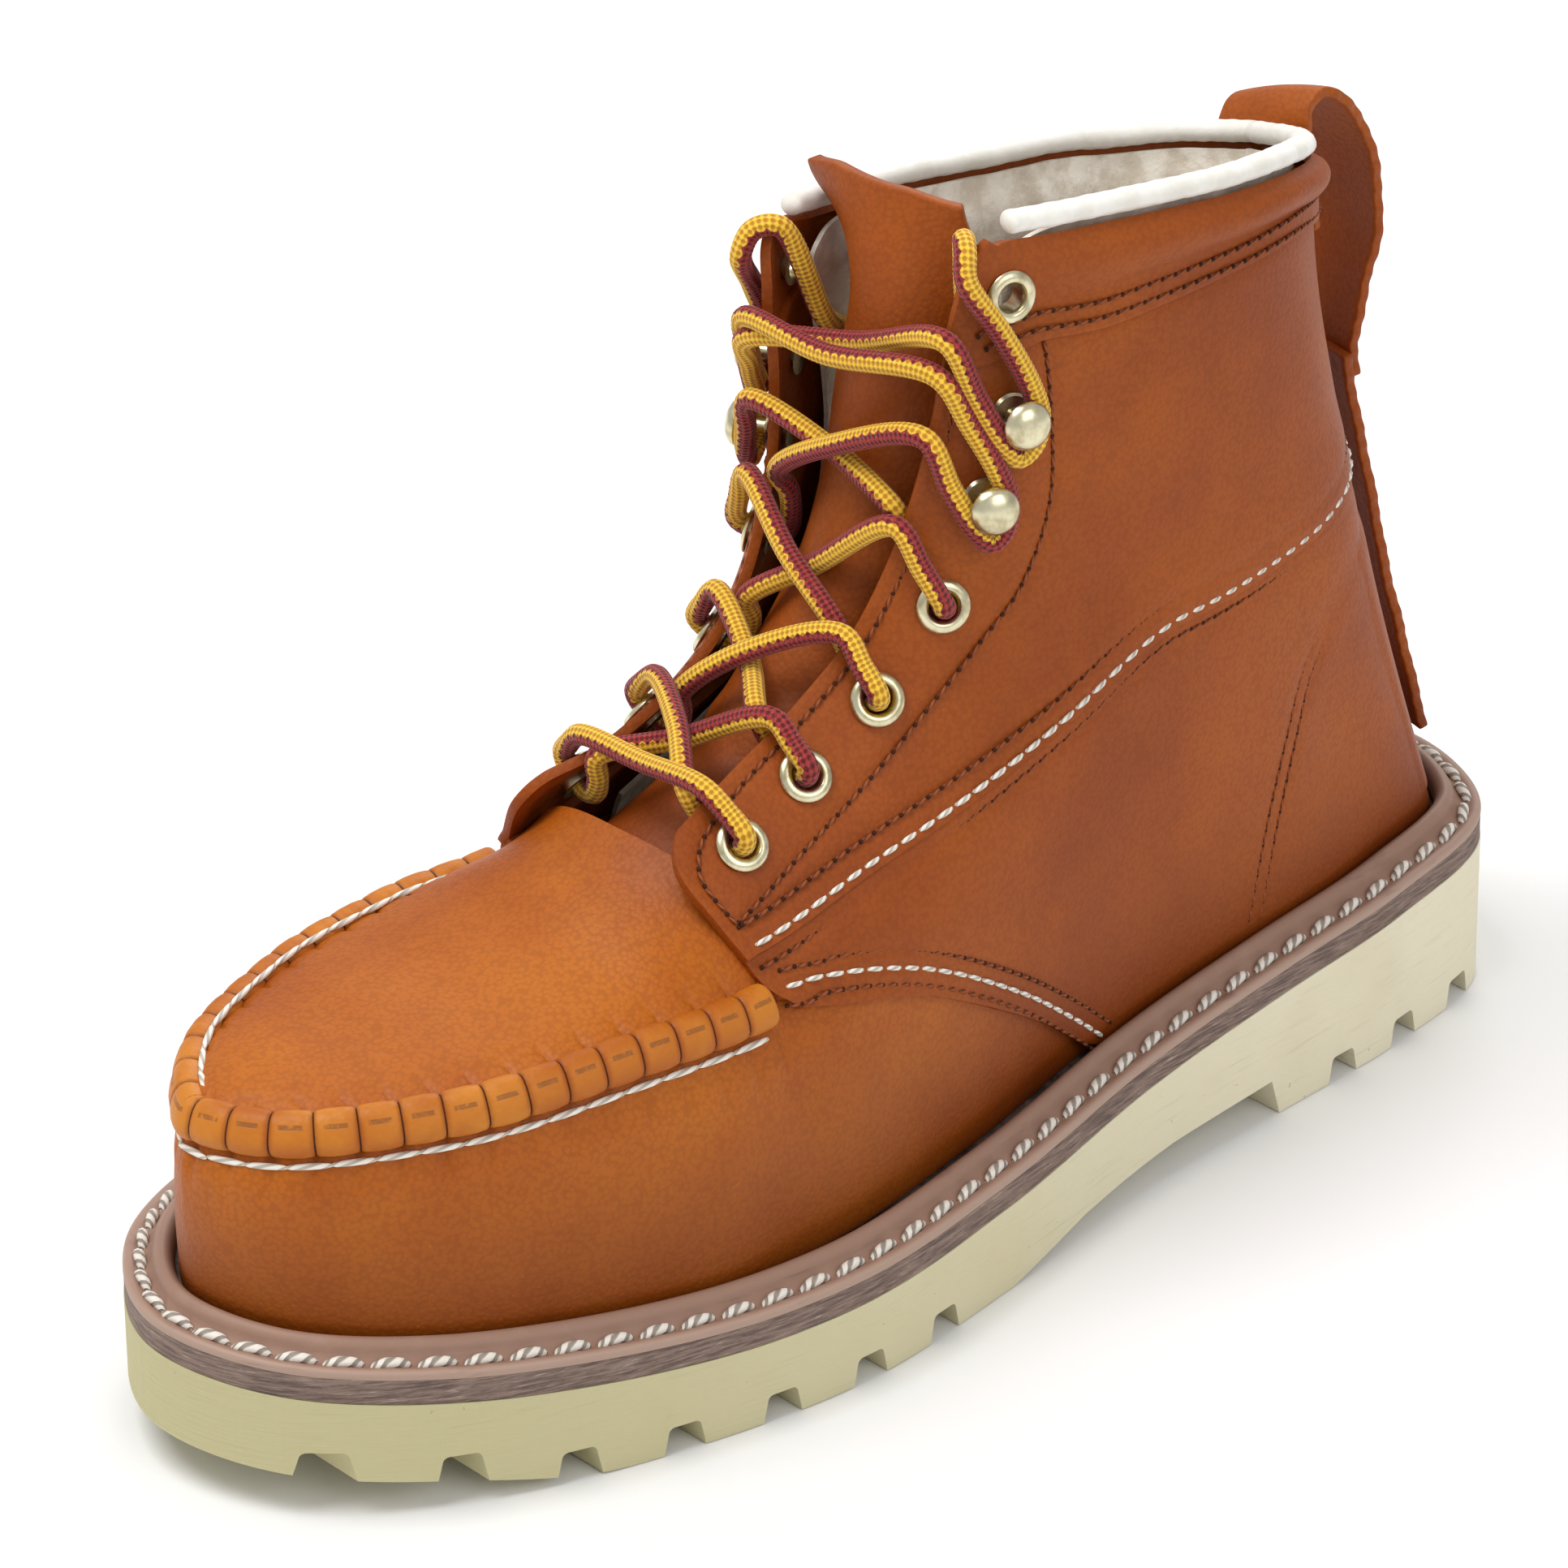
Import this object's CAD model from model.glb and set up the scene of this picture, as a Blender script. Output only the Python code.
"""Steel toe work boot: the visual model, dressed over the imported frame.

Lengths are millimetres until a mesh is written, where they become metres.
"""

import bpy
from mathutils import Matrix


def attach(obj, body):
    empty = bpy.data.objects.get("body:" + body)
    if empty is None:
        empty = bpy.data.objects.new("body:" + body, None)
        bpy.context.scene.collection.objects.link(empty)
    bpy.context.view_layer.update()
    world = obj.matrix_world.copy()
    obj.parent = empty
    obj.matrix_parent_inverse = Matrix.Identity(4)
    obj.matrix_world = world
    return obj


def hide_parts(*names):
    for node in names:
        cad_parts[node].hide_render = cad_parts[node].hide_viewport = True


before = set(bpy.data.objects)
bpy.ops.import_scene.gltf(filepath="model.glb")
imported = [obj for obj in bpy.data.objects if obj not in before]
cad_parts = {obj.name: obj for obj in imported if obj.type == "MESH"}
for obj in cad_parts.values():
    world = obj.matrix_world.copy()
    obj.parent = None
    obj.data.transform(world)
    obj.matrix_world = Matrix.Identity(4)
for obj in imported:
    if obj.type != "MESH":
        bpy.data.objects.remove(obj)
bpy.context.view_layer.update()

import logging
import math
from dataclasses import dataclass, field
from enum import Enum
from typing import Callable, Sequence

import bpy
import numpy as np
from mathutils import Matrix, Vector
from mathutils.kdtree import KDTree

LOG = logging.getLogger("boot")
Numbers = float | np.ndarray
Points = np.ndarray
Place = Callable[[Points, Points], Points]

MM = 0.001
SHIFT = np.array([-1.95, 0.15, 0.0])
LEATHER = 1.9
BEAD_END = 3.9
GATHERS = 29
EYELET_HOLE = 3.2
HOOK_HOLE = 1.7
ROUNDED_SHARE = 0.015
TRIPLE_GAP = 4.0
LOWER_GAP = 2.9
COUNTER_GAP = 1.6
COLLAR_GAP = 1.5


class Track:
    """Smooth function through rows of (position, value, value, ...)."""

    def __init__(self, rows: Sequence[Sequence[float]]) -> None:
        """Works out the slope at each row.

        Args:
            rows: the positions, rising, with the values at each.
        """
        table = np.array(rows, dtype=float)
        self.at = table[:, 0]
        self.value = table[:, 1:]
        step = np.diff(self.at)[:, None]
        chord = np.diff(self.value, axis=0) / step
        self.slope = np.empty_like(self.value)
        self.slope[0], self.slope[-1] = chord[0], chord[-1]
        mean = (chord[:-1] * step[1:] + chord[1:] * step[:-1]) / (step[1:] + step[:-1])
        self.slope[1:-1] = np.where(chord[:-1] * chord[1:] <= 0, 0.0, mean)

    def __call__(self, position: Numbers) -> Points:
        """Values at a position or at an array of them, in a last axis of their own."""
        t = np.clip(np.asarray(position, dtype=float), self.at[0], self.at[-1])
        i = np.clip(np.searchsorted(self.at, t, side="left") - 1, 0, len(self.at) - 2)
        span = (self.at[i + 1] - self.at[i])[..., None]
        f = ((t - self.at[i])[..., None]) / span
        return (
            self.value[i] * (2 * f**3 - 3 * f * f + 1)
            + self.slope[i] * span * (f**3 - 2 * f * f + f)
            + self.value[i + 1] * (3 * f * f - 2 * f**3)
            + self.slope[i + 1] * span * (f**3 - f * f)
        )

    def one(self, position: Numbers) -> Numbers:
        """The only value of a track that has one."""
        return self(position)[..., 0]


def unit(vectors: Points) -> Points:
    """Vectors at length one."""
    return vectors / np.maximum(np.linalg.norm(vectors, axis=-1, keepdims=True), 1e-12)


def hermite(a: Points, ta: Points, b: Points, tb: Points, f: Points) -> Points:
    """Cubic from a to b that leaves along ta and arrives along tb."""
    return (
        a * (2 * f**3 - 3 * f * f + 1)
        + ta * (f**3 - 2 * f * f + f)
        + b * (3 * f * f - 2 * f**3)
        + tb * (f**3 - f * f)
    )


class Last:
    """Shape that the boot is built over: sole edge, upper, plug and tongue, in millimetres."""

    UPPER_INSET = 11.6
    FEATHER_RISE = 6.1
    OUTLINE = np.array([
        (-4.5, -152.8), (22, -146), (40.3, -122.3), (52.7, -86), (58.4, -45), (53.1, -5), (45.3, 35),
        (41.6, 75), (38.3, 110), (29, 141), (0, 152.5), (-29, 141), (-38.5, 110), (-39, 75),
        (-40, 35), (-47, -5), (-54, -45), (-54, -80), (-45.8, -113), (-29.5, -138.5),
    ], dtype=float)
    wedge_top = Track([(-154, 24.5), (-110, 19.1), (-60, 15.8), (0, 17.4), (70, 24.4), (153, 30.2)])
    toe_spring = Track([(-154, 9.2), (-125, 5.3), (-92, 0), (153, 0)])
    turn_line = Track([
        (0, 0.6, 0, 64), (1, 1.6, 1, 65.5), (2, 1.4, 4, 67), (3, 4.2, 1, 69), (4, 6.5, -3, 70),
        (5, 3.4, -12, 79), (6, -3.5, -21, 85), (7, -5.6, -28, 87.5), (8, -6, -27, 88),
        (9, -5, -24.5, 87), (10, -3, -18.5, 86),
    ])
    top_line = Track([
        (0, -6, -129, 79), (1, 8, -122, 81), (2, 20, -106, 84), (3, 23, -84, 88), (4, 20.5, -57, 95.5),
        (4.5, 18.6, -41, 102), (5, 18, -25, 109.5), (5.5, 19, -10.5, 121), (6, 21.5, -2, 138),
        (6.5, 24, 3, 158), (7, 26, 6, 179), (7.2, 26.8, 8.5, 187), (7.4, 28, 14, 191.5),
        (7.7, 30, 27, 190.5), (8, 31.5, 40, 189.5), (8.5, 32.5, 60, 187.5), (9, 29.5, 81, 185),
        (9.5, 18.5, 98, 179.5), (10, 0, 105, 173.5),
    ])
    inner_shift = Track([
        (0, 0, 0, 0, 0), (1, 3, 3, 0, 0), (2, 7, 5, 0, 0), (3, 9, 5, 0, 0), (4, 8, 5, 0, -2),
        (4.5, 6, 8, 0, -3), (5, 4, 8, 0, -3), (5.5, 3, 7.5, 0, -3), (6, 2, 8, 0, -3),
        (6.5, 1, 9.5, -2, -5), (7, 1, 11, -5, -8), (7.4, 1, 11, -8, -9), (8, 1, 12, -6, -10),
        (8.5, 1, 12, -3, -11.5), (9, 1, 10, 0, -12), (9.5, 0, 5, 0, -8), (10, 0, 0, 0, 0),
    ])
    midline = Track([(0, -6), (1, -5.5), (2, -4), (3, -1), (4, 1), (6, 1), (8, 0), (10, 0)])
    plug_ridge = Track([
        (-142, 65), (-132, 68), (-110, 71), (-87, 74), (-70, 79), (-60, 85), (-52, 91.5), (-40, 101),
    ])
    tongue_ridge = Track([
        (0, -60, 80), (0.15, -46, 89.5), (0.3, -30, 99), (0.45, -16, 112), (0.6, -4.8, 130),
        (0.75, 2.5, 154), (0.9, 7.5, 180), (1, 10.5, 194.5),
    ])
    tongue_centre = Track([(0, 3), (0.3, 5), (0.6, 5), (1, 5.5)])
    tongue_half = Track([(0, 19), (0.4, 19), (0.7, 18.8), (0.9, 18), (1, 16.5)])
    tongue_drop = Track([(0, 10), (0.3, 18), (0.6, 23), (0.8, 24), (1, 21)])

    def edge(self, station: Numbers, inset: Numbers = 0.0) -> Points:
        """Point of the sole edge at a station, moved inwards.

        Args:
            station: place round the sole, 0 at the toe, 10 at the heel, 20 back at the toe.
            inset: distance inwards.

        Returns:
            The X and Y of each point.
        """
        s = np.mod(np.asarray(station, dtype=float), 20.0)
        i = np.floor(s).astype(int)
        f = (s - i)[..., None]
        p0, p1, p2, p3 = (self.OUTLINE[(i + k) % 20] for k in (-1, 0, 1, 2))
        square, cube = 2 * p0 - 5 * p1 + 4 * p2 - p3, 3 * p1 - p0 - 3 * p2 + p3
        point = 0.5 * (2 * p1 + (p2 - p0) * f + square * f * f + cube * f**3)
        along = unit((p2 - p0) + 2 * square * f + 3 * cube * f * f)
        inset = np.broadcast_to(np.asarray(inset, dtype=float), s.shape)[..., None]
        return point + np.stack([-along[..., 1], along[..., 0]], axis=-1) * inset

    def rib(self, station: Numbers) -> tuple[Points, Points, Points]:
        """Foot, turn and top points of the upper at a station."""
        station = np.asarray(station, dtype=float)
        around = np.mod(station, 20.0)
        s = np.where(around <= 10, around, 20 - around)
        foot = self.edge(station, self.UPPER_INSET)
        rise = self.wedge_top(foot[..., 1]) + self.FEATHER_RISE
        foot = np.concatenate([foot, rise], axis=-1)
        inward, along, height = np.moveaxis(self.turn_line(s), -1, 0)
        move = self.edge(station, self.UPPER_INSET + inward)
        turn = np.stack([move[..., 0], move[..., 1] + along, height], axis=-1)
        top = self.top_line(s)
        inner = ((around > 10) | (station < 0))[..., None]
        shift = np.where(inner, self.inner_shift(s), 0.0)
        turn[..., 0] += shift[..., 0]
        across = 2 * self.midline(s) - top[..., :1]
        top = np.where(inner, np.concatenate([across, top[..., 1:]], axis=-1), top)
        return foot, turn, top + shift[..., 1:]

    def bare(self, station: Numbers, v: Numbers) -> Points:
        """Inner face of the upper's leather; v is 0 at the sole, 0.5 at the turn, 1 at the top."""
        station, v = np.broadcast_arrays(np.asarray(station, float), np.asarray(v, float))
        foot, turn, top = self.rib(station)
        low, high = turn - foot, top - turn
        low_size = np.linalg.norm(low, axis=-1, keepdims=True)
        high_size = np.linalg.norm(high, axis=-1, keepdims=True)
        low, high = low / low_size, high / high_size
        mid = unit(low * high_size + high * low_size)
        f = v[..., None]
        wall = hermite(foot, unit(1.4 * low - 0.4 * mid) * low_size, turn, mid * low_size, f * 2)
        neck = hermite(turn, mid * high_size, top, unit(2 * high - mid) * high_size, f * 2 - 1)
        return np.where(f <= 0.5, wall, neck)

    def facing(self, station: Numbers, v: Numbers) -> Points:
        """Outward direction of the upper."""
        step = 0.004
        station, v = np.broadcast_arrays(np.asarray(station, float), np.asarray(v, float))
        across = self.bare(station + step, v) - self.bare(station - step, v)
        up = self.bare(station, np.minimum(v + step, 1)) - self.bare(station, np.maximum(v - step, 0))
        return unit(np.cross(across, up))

    def upper(self, station: Numbers, v: Numbers, out: Numbers = 0.0) -> Points:
        """Point of the upper, moved outwards."""
        station, v, out = np.broadcast_arrays(*(np.asarray(x, float) for x in (station, v, out)))
        return self.bare(station, v) + self.facing(station, v) * out[..., None]

    def per_mm(self, station: Numbers, v: Numbers) -> Numbers:
        """Height fraction that one millimetre up the upper takes."""
        step = 0.01
        gap = self.bare(station, np.minimum(v + step, 1)) - self.bare(station, np.maximum(v - step, 0))
        span = np.minimum(v + step, 1) - np.maximum(v - step, 0)
        return span / np.linalg.norm(gap, axis=-1)

    def plug_bare(self, s: Numbers, t: Numbers) -> Points:
        """Plug surface between the two moc seams; t runs from -1, inner, to 1, outer."""
        s, t = np.broadcast_arrays(np.asarray(s, float), np.asarray(t, float))
        a, b = self.rib(-s)[1], self.rib(s)[1]
        point = a + (b - a) * ((t + 1) / 2)[..., None]
        rise = self.plug_ridge.one((a[..., 1] + b[..., 1]) / 2) - (a[..., 2] + b[..., 2]) / 2
        point[..., 2] += rise * (1 - np.abs(t) ** 2.2)
        return point

    def plug(self, s: Numbers, t: Numbers, out: Numbers = 0.0) -> Points:
        """Point of the plug, moved outwards."""
        s, t, out = np.broadcast_arrays(*(np.asarray(x, float) for x in (s, t, out)))
        e = 0.01
        along = self.plug_bare(s + e, t) - self.plug_bare(s - e, t)
        across = self.plug_bare(s, np.minimum(t + e, 1)) - self.plug_bare(s, np.maximum(t - e, -1))
        return self.plug_bare(s, t) + unit(np.cross(across, along)) * out[..., None]

    def tongue(self, a: Numbers, b: Numbers, out: Numbers = 0.0) -> Points:
        """Point of the tongue; a is 0 at its root and 1 at its tip, b runs from -1 to 1 across."""
        a, b, out = np.broadcast_arrays(*(np.asarray(x, float) for x in (a, b, out)))
        ridge = self.tongue_ridge(a)
        way = self.tongue_ridge(np.minimum(a + 0.01, 1)) - self.tongue_ridge(np.maximum(a - 0.01, 0))
        way = unit(way)
        angle = b * 1.25
        half = (self.tongue_half.one(a) + out) / math.sin(1.25)
        drop = (self.tongue_drop.one(a) + out) * (1 - np.cos(angle)) / (1 - math.cos(1.25)) - out
        x = self.tongue_centre.one(a) + half * np.sin(angle)
        return np.stack([x, ridge[..., 0] + way[..., 1] * drop, ridge[..., 1] - way[..., 0] * drop], axis=-1)


LAST = Last()


def smooth(x: Numbers, start: float, end: float) -> Numbers:
    """Runs softly from 0 at start to 1 at end."""
    f = np.clip((np.asarray(x, dtype=float) - start) / (end - start), 0.0, 1.0)
    return f * f * (3 - 2 * f)


def hump(x: Numbers, middle: float, width: float) -> Numbers:
    """Bell that is 1 at its middle."""
    return np.exp(-(((np.asarray(x, dtype=float) - middle) / width) ** 2))


def rounded_ends(a: Points) -> Points:
    """Share of a tube's girth along it: full, with both tips rounded off."""
    start = 1 - ROUNDED_SHARE
    past = np.clip(np.abs(a - 0.5) * 2, start, 1) - start
    return np.sqrt(np.clip(1 - past**2 / ROUNDED_SHARE**2, 0, 1))


def mirrored(station: Numbers) -> Numbers:
    """Station folded onto the outer side."""
    return np.where(np.asarray(station) <= 10, station, 20 - np.asarray(station, dtype=float))


def ripple(points: Points, size: float, seed: int) -> Points:
    """Soft unevenness between -1 and 1.

    Args:
        points: where it is wanted.
        size: width of a swell, in millimetres.
        seed: which pattern.

    Returns:
        One number for each point.
    """
    dice = np.random.default_rng(seed)
    total = np.zeros(points.shape[:-1])
    for _ in range(9):
        way = unit(dice.normal(size=3)) * dice.uniform(0.6, 1.5) * math.pi / size
        total += np.sin(points @ way + dice.uniform(0, 6.28))
    return total / 4.5


def resampled(points: Points, count: int) -> Points:
    """Polyline of that many points, evenly spaced along a finer one."""
    walk = np.concatenate([[0], np.cumsum(np.linalg.norm(np.diff(points, axis=0), axis=1))])
    at = np.linspace(0, walk[-1], count)
    return np.stack([np.interp(at, walk, points[:, k]) for k in range(points.shape[1])], axis=1)


def length_of(points: Points) -> float:
    """Length of a polyline."""
    return float(np.linalg.norm(np.diff(points, axis=0), axis=1).sum())


def spline(knots: Sequence[Points], each: int = 16) -> Points:
    """Centripetal curve through the knots, as many points as asked between each two."""
    k = np.array(knots, dtype=float)
    k = np.concatenate([[2 * k[0] - k[1]], k, [2 * k[-1] - k[-2]]])
    d = np.maximum(np.sum(np.diff(k, axis=0) ** 2, axis=1) ** 0.25, 1e-4)[:, None]
    out = []
    f = np.linspace(0, 1, each, endpoint=False)[:, None]
    for i in range(1, len(k) - 2):
        a, b, c = d[i - 1], d[i], d[i + 1]
        leave = ((k[i] - k[i - 1]) / a - (k[i + 1] - k[i - 1]) / (a + b) + (k[i + 1] - k[i]) / b) * b
        meet = ((k[i + 1] - k[i]) / b - (k[i + 2] - k[i]) / (b + c) + (k[i + 2] - k[i + 1]) / c) * b
        out.append(hermite(k[i], leave, k[i + 1], meet, f))
    return np.concatenate([*out, [k[-2]]])


def carried(line: Points, start: Points) -> tuple[Points, Points, Points]:
    """Tangent and two crosswise directions along a line, without twist.

    Args:
        line: points of the line.
        start: a direction roughly across it at its first point.

    Returns:
        Tangents, first and second crosswise directions.
    """
    tangent = unit(np.gradient(line, axis=0))
    side = np.empty_like(line)
    now = np.array(start, dtype=float)
    for i, t in enumerate(tangent):
        now = unit(now - t * (now @ t))
        side[i] = now
    return tangent, side, np.cross(tangent, side)


class Shaper(Enum):
    """Modifiers that finish a piece."""

    WALL = "SOLIDIFY"
    BEVEL = "BEVEL"
    CUT = "BOOLEAN"


class Bench:
    """Bench where pieces are laid out, shaped and finished."""

    @staticmethod
    def clear() -> None:
        """Leaves edit mode and selects nothing."""
        if bpy.context.mode != "OBJECT":
            bpy.ops.object.mode_set(mode="OBJECT")
        bpy.ops.object.select_all(action="DESELECT")

    @staticmethod
    def only(piece: bpy.types.Object) -> None:
        """Selects one piece and makes it active."""
        Bench.clear()
        piece.select_set(True)
        bpy.context.view_layer.objects.active = piece

    @staticmethod
    def read(piece: bpy.types.Object, what: str = "co") -> Points:
        """Positions or normals of a piece's points, as they are in its mesh."""
        flat = np.empty(len(piece.data.vertices) * 3)
        piece.data.vertices.foreach_get(what, flat)
        return flat.reshape(-1, 3)

    @staticmethod
    def write(piece: bpy.types.Object, points: Points) -> None:
        """Puts a piece's points at places given in millimetres."""
        piece.data.vertices.foreach_set("co", ((points + SHIFT) * MM).ravel())
        piece.data.update()

    @staticmethod
    def places(piece: bpy.types.Object) -> Points:
        """Places of a piece's points in millimetres."""
        return Bench.read(piece) / MM - SHIFT

    @staticmethod
    def shape(piece: bpy.types.Object, kind: Shaper, **settings: object) -> None:
        """Adds a modifier with its settings and applies it."""
        Bench.only(piece)
        modifier = piece.modifiers.new(kind.value.title(), kind.value)
        for name, value in settings.items():
            setattr(modifier, name, value)
        bpy.ops.object.modifier_apply(modifier=modifier.name)

    @staticmethod
    def close(piece: bpy.types.Object) -> None:
        """Merges points that meet and turns the faces outwards."""
        Bench.only(piece)
        bpy.ops.object.mode_set(mode="EDIT")
        bpy.ops.mesh.select_all(action="SELECT")
        bpy.ops.mesh.remove_doubles(threshold=2e-6)
        bpy.ops.mesh.normals_make_consistent(inside=False)
        bpy.ops.object.mode_set(mode="OBJECT")

    @staticmethod
    def soften(piece: bpy.types.Object, angle: float = 50.0) -> None:
        """Shades a piece smooth but for edges sharper than an angle in degrees."""
        Bench.only(piece)
        bpy.ops.object.shade_smooth_by_angle(angle=math.radians(angle))

    @staticmethod
    def stretch_uv(piece: bpy.types.Object, across: float, up: float) -> None:
        """Scales the piece's own map, so that it counts what a pattern needs."""
        layer = piece.data.uv_layers.active.data
        flat = np.empty(len(layer) * 2)
        layer.foreach_get("uv", flat)
        layer.foreach_set("uv", (flat.reshape(-1, 2) * (across, up)).ravel())

    @staticmethod
    def sheet(name: str, columns: int, rows: int, place: Place) -> bpy.types.Object:
        """Open sheet laid out from a flat grid.

        Args:
            name: the piece's name.
            columns: faces along.
            rows: faces up.
            place: gives the place for fractions along and up.

        Returns:
            The new piece.
        """
        Bench.clear()
        bpy.ops.mesh.primitive_grid_add(x_subdivisions=columns, y_subdivisions=rows, size=1.0)
        piece = bpy.context.object
        piece.name = piece.data.name = name
        flat = Bench.read(piece)
        Bench.write(piece, place(flat[:, 0] + 0.5, flat[:, 1] + 0.5))
        return piece

    @staticmethod
    def skin(name: str, columns: int, rows: int, place: Place) -> bpy.types.Object:
        """Closed skin from a grid whose edges meet."""
        piece = Bench.sheet(name, columns, rows, place)
        Bench.close(piece)
        return piece

    @staticmethod
    def wall(piece: bpy.types.Object, thick: float, rounding: float = 0.45) -> None:
        """Gives a sheet its thickness inwards; its rim and back take the second finish."""
        Bench.shape(
            piece, Shaper.WALL, thickness=thick * MM, offset=-1.0, material_offset=1,
            material_offset_rim=1, use_rim=True,
        )
        if rounding:
            Bench.shape(
                piece, Shaper.BEVEL, width=rounding * MM, segments=2, limit_method="ANGLE",
                angle_limit=math.radians(62),
            )
        Bench.soften(piece, 60)

    @staticmethod
    def tube(
        name: str, line: Points, around: int, girth: Callable[[Points, Points], Points],
        start: Points = (0, 0, 1), sides: tuple[Points, Points] | None = None,
    ) -> bpy.types.Object:
        """Round skin along a line.

        Args:
            name: the piece's name.
            line: its middle line.
            around: faces round it.
            girth: radii crosswise, two for each fraction along and angle.
            start: direction across it at its start.
            sides: crosswise directions, if they are known.

        Returns:
            The new piece, whose map runs along and round it.
        """
        _, first, second = (None, *sides) if sides else carried(line, np.array(start, float))
        steps = len(line) - 1

        def place(a: Points, b: Points) -> Points:
            i = np.rint(a * steps).astype(int)
            angle = 2 * math.pi * b
            size = girth(a, angle)
            return (
                line[i]
                + first[i] * (np.cos(angle) * size[:, 0])[:, None]
                + second[i] * (np.sin(angle) * size[:, 1])[:, None]
            )

        piece = Bench.skin(name, steps, around, place)
        Bench.soften(piece, 80)
        return piece

    @staticmethod
    def turned(name: str, profile: Sequence[tuple[float, float]], segments: int) -> bpy.types.Object:
        """Turned part on the Z axis at the origin.

        Args:
            name: the piece's name.
            profile: radius and height of each ring, in millimetres.
            segments: faces round it.

        Returns:
            The new piece, still to be placed.
        """
        Bench.clear()
        radius, height = profile[0]
        bpy.ops.mesh.primitive_circle_add(
            vertices=segments, radius=radius * MM, location=(0, 0, height * MM), fill_type="NOTHING"
        )
        piece = bpy.context.object
        piece.name = piece.data.name = name
        bpy.ops.object.transform_apply(location=True)
        bpy.ops.object.mode_set(mode="EDIT")
        bpy.ops.mesh.select_all(action="SELECT")
        for new_radius, new_height in profile[1:]:
            rise = (new_height - height) * MM
            bpy.ops.mesh.extrude_region_move(TRANSFORM_OT_translate={"value": (0, 0, rise)})
            grow = new_radius / radius
            bpy.ops.transform.resize(value=(grow, grow, 1), center_override=(0, 0, 0))
            radius, height = new_radius, new_height
        bpy.ops.object.mode_set(mode="OBJECT")
        Bench.close(piece)
        Bench.soften(piece, 40)
        return piece

    @staticmethod
    def copy(piece: bpy.types.Object, name: str, place: Matrix) -> bpy.types.Object:
        """Copy of a piece with a mesh of its own, put in place in its mesh."""
        twin = bpy.data.objects.new(name, piece.data.copy())
        twin.data.name = name
        bpy.context.scene.collection.objects.link(twin)
        twin.data.transform(place)
        twin.data.update()
        return twin

    @staticmethod
    def discard(piece: bpy.types.Object) -> None:
        """Takes a pattern piece off the bench."""
        bpy.data.objects.remove(piece)

    @staticmethod
    def crumple(piece: bpy.types.Object, size: float, depth: float, seed: int) -> None:
        """Makes a surface softly uneven along its normals."""
        points = Bench.places(piece)
        lift = ripple(points, size, seed) * depth
        Bench.write(piece, points + Bench.read(piece, "normal") * lift[:, None])

    @staticmethod
    def press(piece: bpy.types.Object, lines: Sequence[Points], depth: float, width: float) -> None:
        """Sinks a surface along seam lines.

        Args:
            piece: the sheet.
            lines: points of each seam, in millimetres.
            depth: how deep, in millimetres.
            width: how wide, in millimetres.
        """
        every = np.concatenate(lines)
        tree = KDTree(len(every))
        for i, point in enumerate(every):
            tree.insert(point, i)
        tree.balance()
        points = Bench.places(piece)
        gap = np.array([tree.find(p)[2] for p in points])
        sink = depth * np.exp(-((gap / width) ** 2))
        Bench.write(piece, points - Bench.read(piece, "normal") * sink[:, None])


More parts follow.
